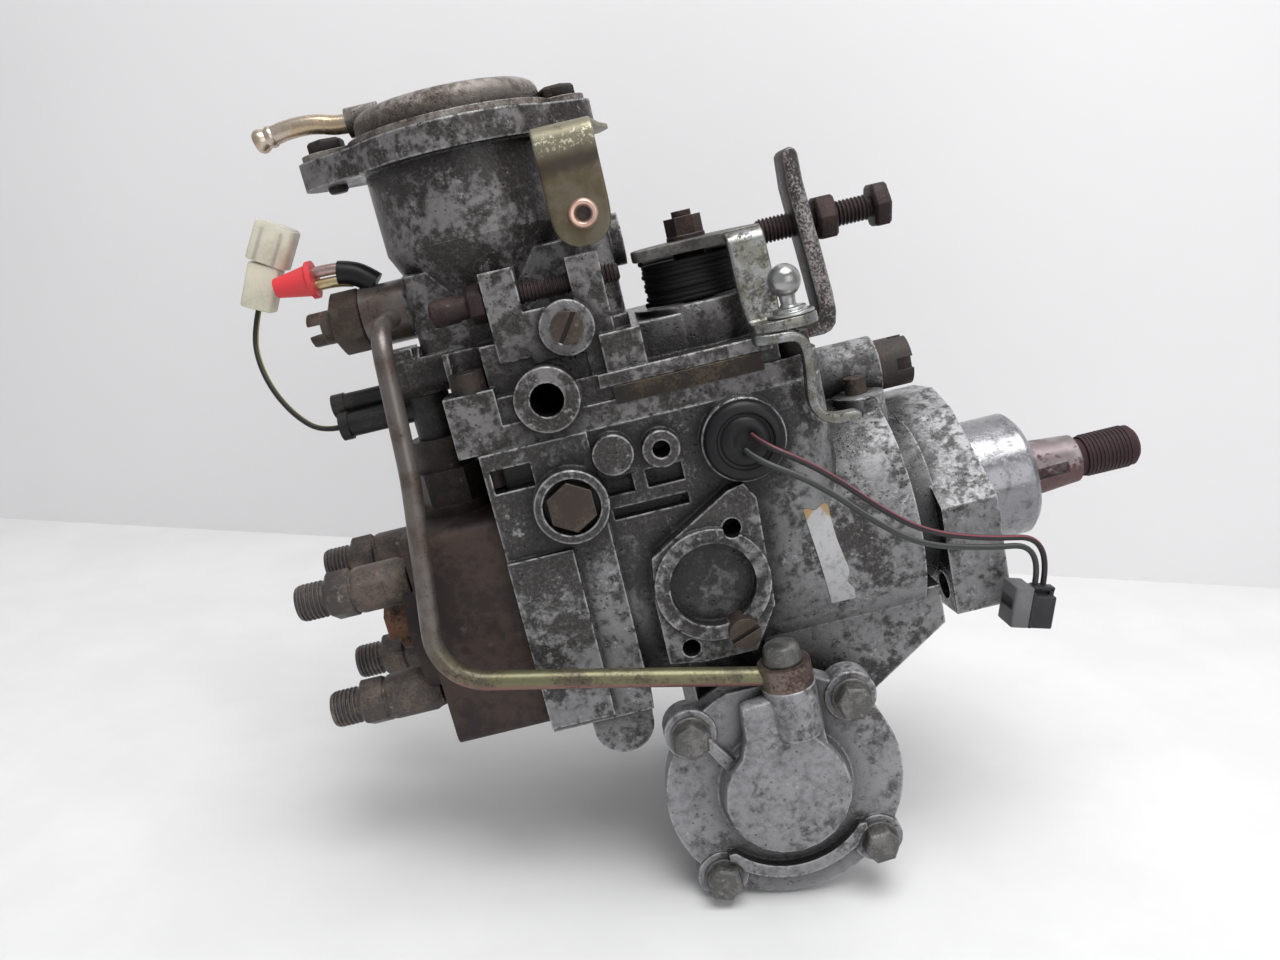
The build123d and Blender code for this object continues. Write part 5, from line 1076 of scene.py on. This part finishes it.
make_strap()
make_banjo_bolts()
make_timer_forms()
make_leak_tubes()
make_nipple()
make_label()
make_grommet()


# ---- table, wall and lamps
TABLE_PITCH = 16                 # degrees, seen from the camera
SHEET_SIZE = 6.0                 # metres, of the tabletop and of the wall
WALL_DISTANCE, WALL_TURN = 0.27, -9
LAMP_SIZE, WINDOW_POWER, ROOM_POWER = 0.7, 10.0, 2.6
PUMP_MIDDLE = 0.12               # metres above the tabletop
DAYLIGHT, DAYLIGHT_STRENGTH = (0.93, 0.94, 0.96, 1), 0.5


def sheet(name, stand, paint, share, first, second):
    """A large flat sheet on its stand, in a paint that varies between two tints."""
    deselect()
    bpy.ops.mesh.primitive_grid_add(x_subdivisions=2, y_subdivisions=2, size=SHEET_SIZE)
    piece = bpy.context.object
    piece.name = name
    piece.data.transform(stand)
    dress(piece, paint.wear(base_color=paint.blend(share, first, second)))
    return piece


def set_stage():
    """A pale tabletop under the leaning pump, and a pale wall behind it."""
    pitch = math.radians(TABLE_PITCH)
    up = (math.cos(pitch) * eye_top - math.sin(pitch) * eye_ahead).normalized()
    back = (math.cos(pitch) * eye_ahead + math.sin(pitch) * eye_top).normalized()
    side = back.cross(up)
    corners = [o.matrix_world @ Vector(b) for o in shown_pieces() for b in o.bound_box]
    lowest = min(up.dot(o.matrix_world @ v.co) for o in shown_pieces() if o.type == "MESH" for v in o.data.vertices)
    middle = sum(corners, Vector()) / len(corners)
    ground = middle + up * (lowest - up.dot(middle))
    turn = Matrix((side, back, up)).transposed().to_4x4()
    stand = Matrix.Translation(ground + back * WALL_DISTANCE) @ turn
    stand = stand @ Matrix.Rotation(math.radians(WALL_TURN), 4, "Z") @ Matrix.Rotation(math.pi / 2, 4, "X")
    pale = Finish("pale tabletop", roughness=0.6)
    dust = pale.clouds(60, 5, 0.6, 0.2).between(0.35, 0.7)
    table = sheet("tabletop", Matrix.Translation(ground) @ turn, pale, dust, (0.7, 0.7, 0.7), (0.74, 0.74, 0.74))
    paint = Finish("pale wall", roughness=0.8)
    fade = paint.clouds(300, 3, 0.5, 0.9).between(0.3, 0.7)
    wall = sheet("wall", stand @ Matrix.Translation((0, SHEET_SIZE / 2, 0)), paint, fade,
                 (0.735, 0.725, 0.73), (0.775, 0.765, 0.77))
    paint.one_sided()
    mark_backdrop(table, wall)
    return up, back, side, ground


def lamp(name, place, aim, power):
    data = bpy.data.lights.new(name, "AREA")
    data.size = LAMP_SIZE
    data.energy = power
    turn = (aim - place).to_track_quat("-Z", "Y").to_matrix().to_4x4()
    linked(name, data).matrix_world = Matrix.Translation(place) @ turn


def set_lamps(up, back, side, ground):
    """A window high above the pump and a weaker light in front of it, aimed at its middle."""
    aim = ground + up * PUMP_MIDDLE
    lamp("window lamp", aim + up * 0.95 + side * 0.1 - back * 0.25, aim, WINDOW_POWER)
    lamp("room lamp", aim - back * 0.9 + up * 0.35 + side * 0.5, aim, ROOM_POWER)
    world = bpy.data.worlds.new("room")
    bpy.context.scene.world = world
    world.use_nodes = True
    light = world.node_tree.nodes["Background"]
    light.inputs["Color"].default_value = DAYLIGHT
    light.inputs["Strength"].default_value = DAYLIGHT_STRENGTH


set_lamps(*set_stage())
bpy.context.scene.view_settings.view_transform = "Standard"
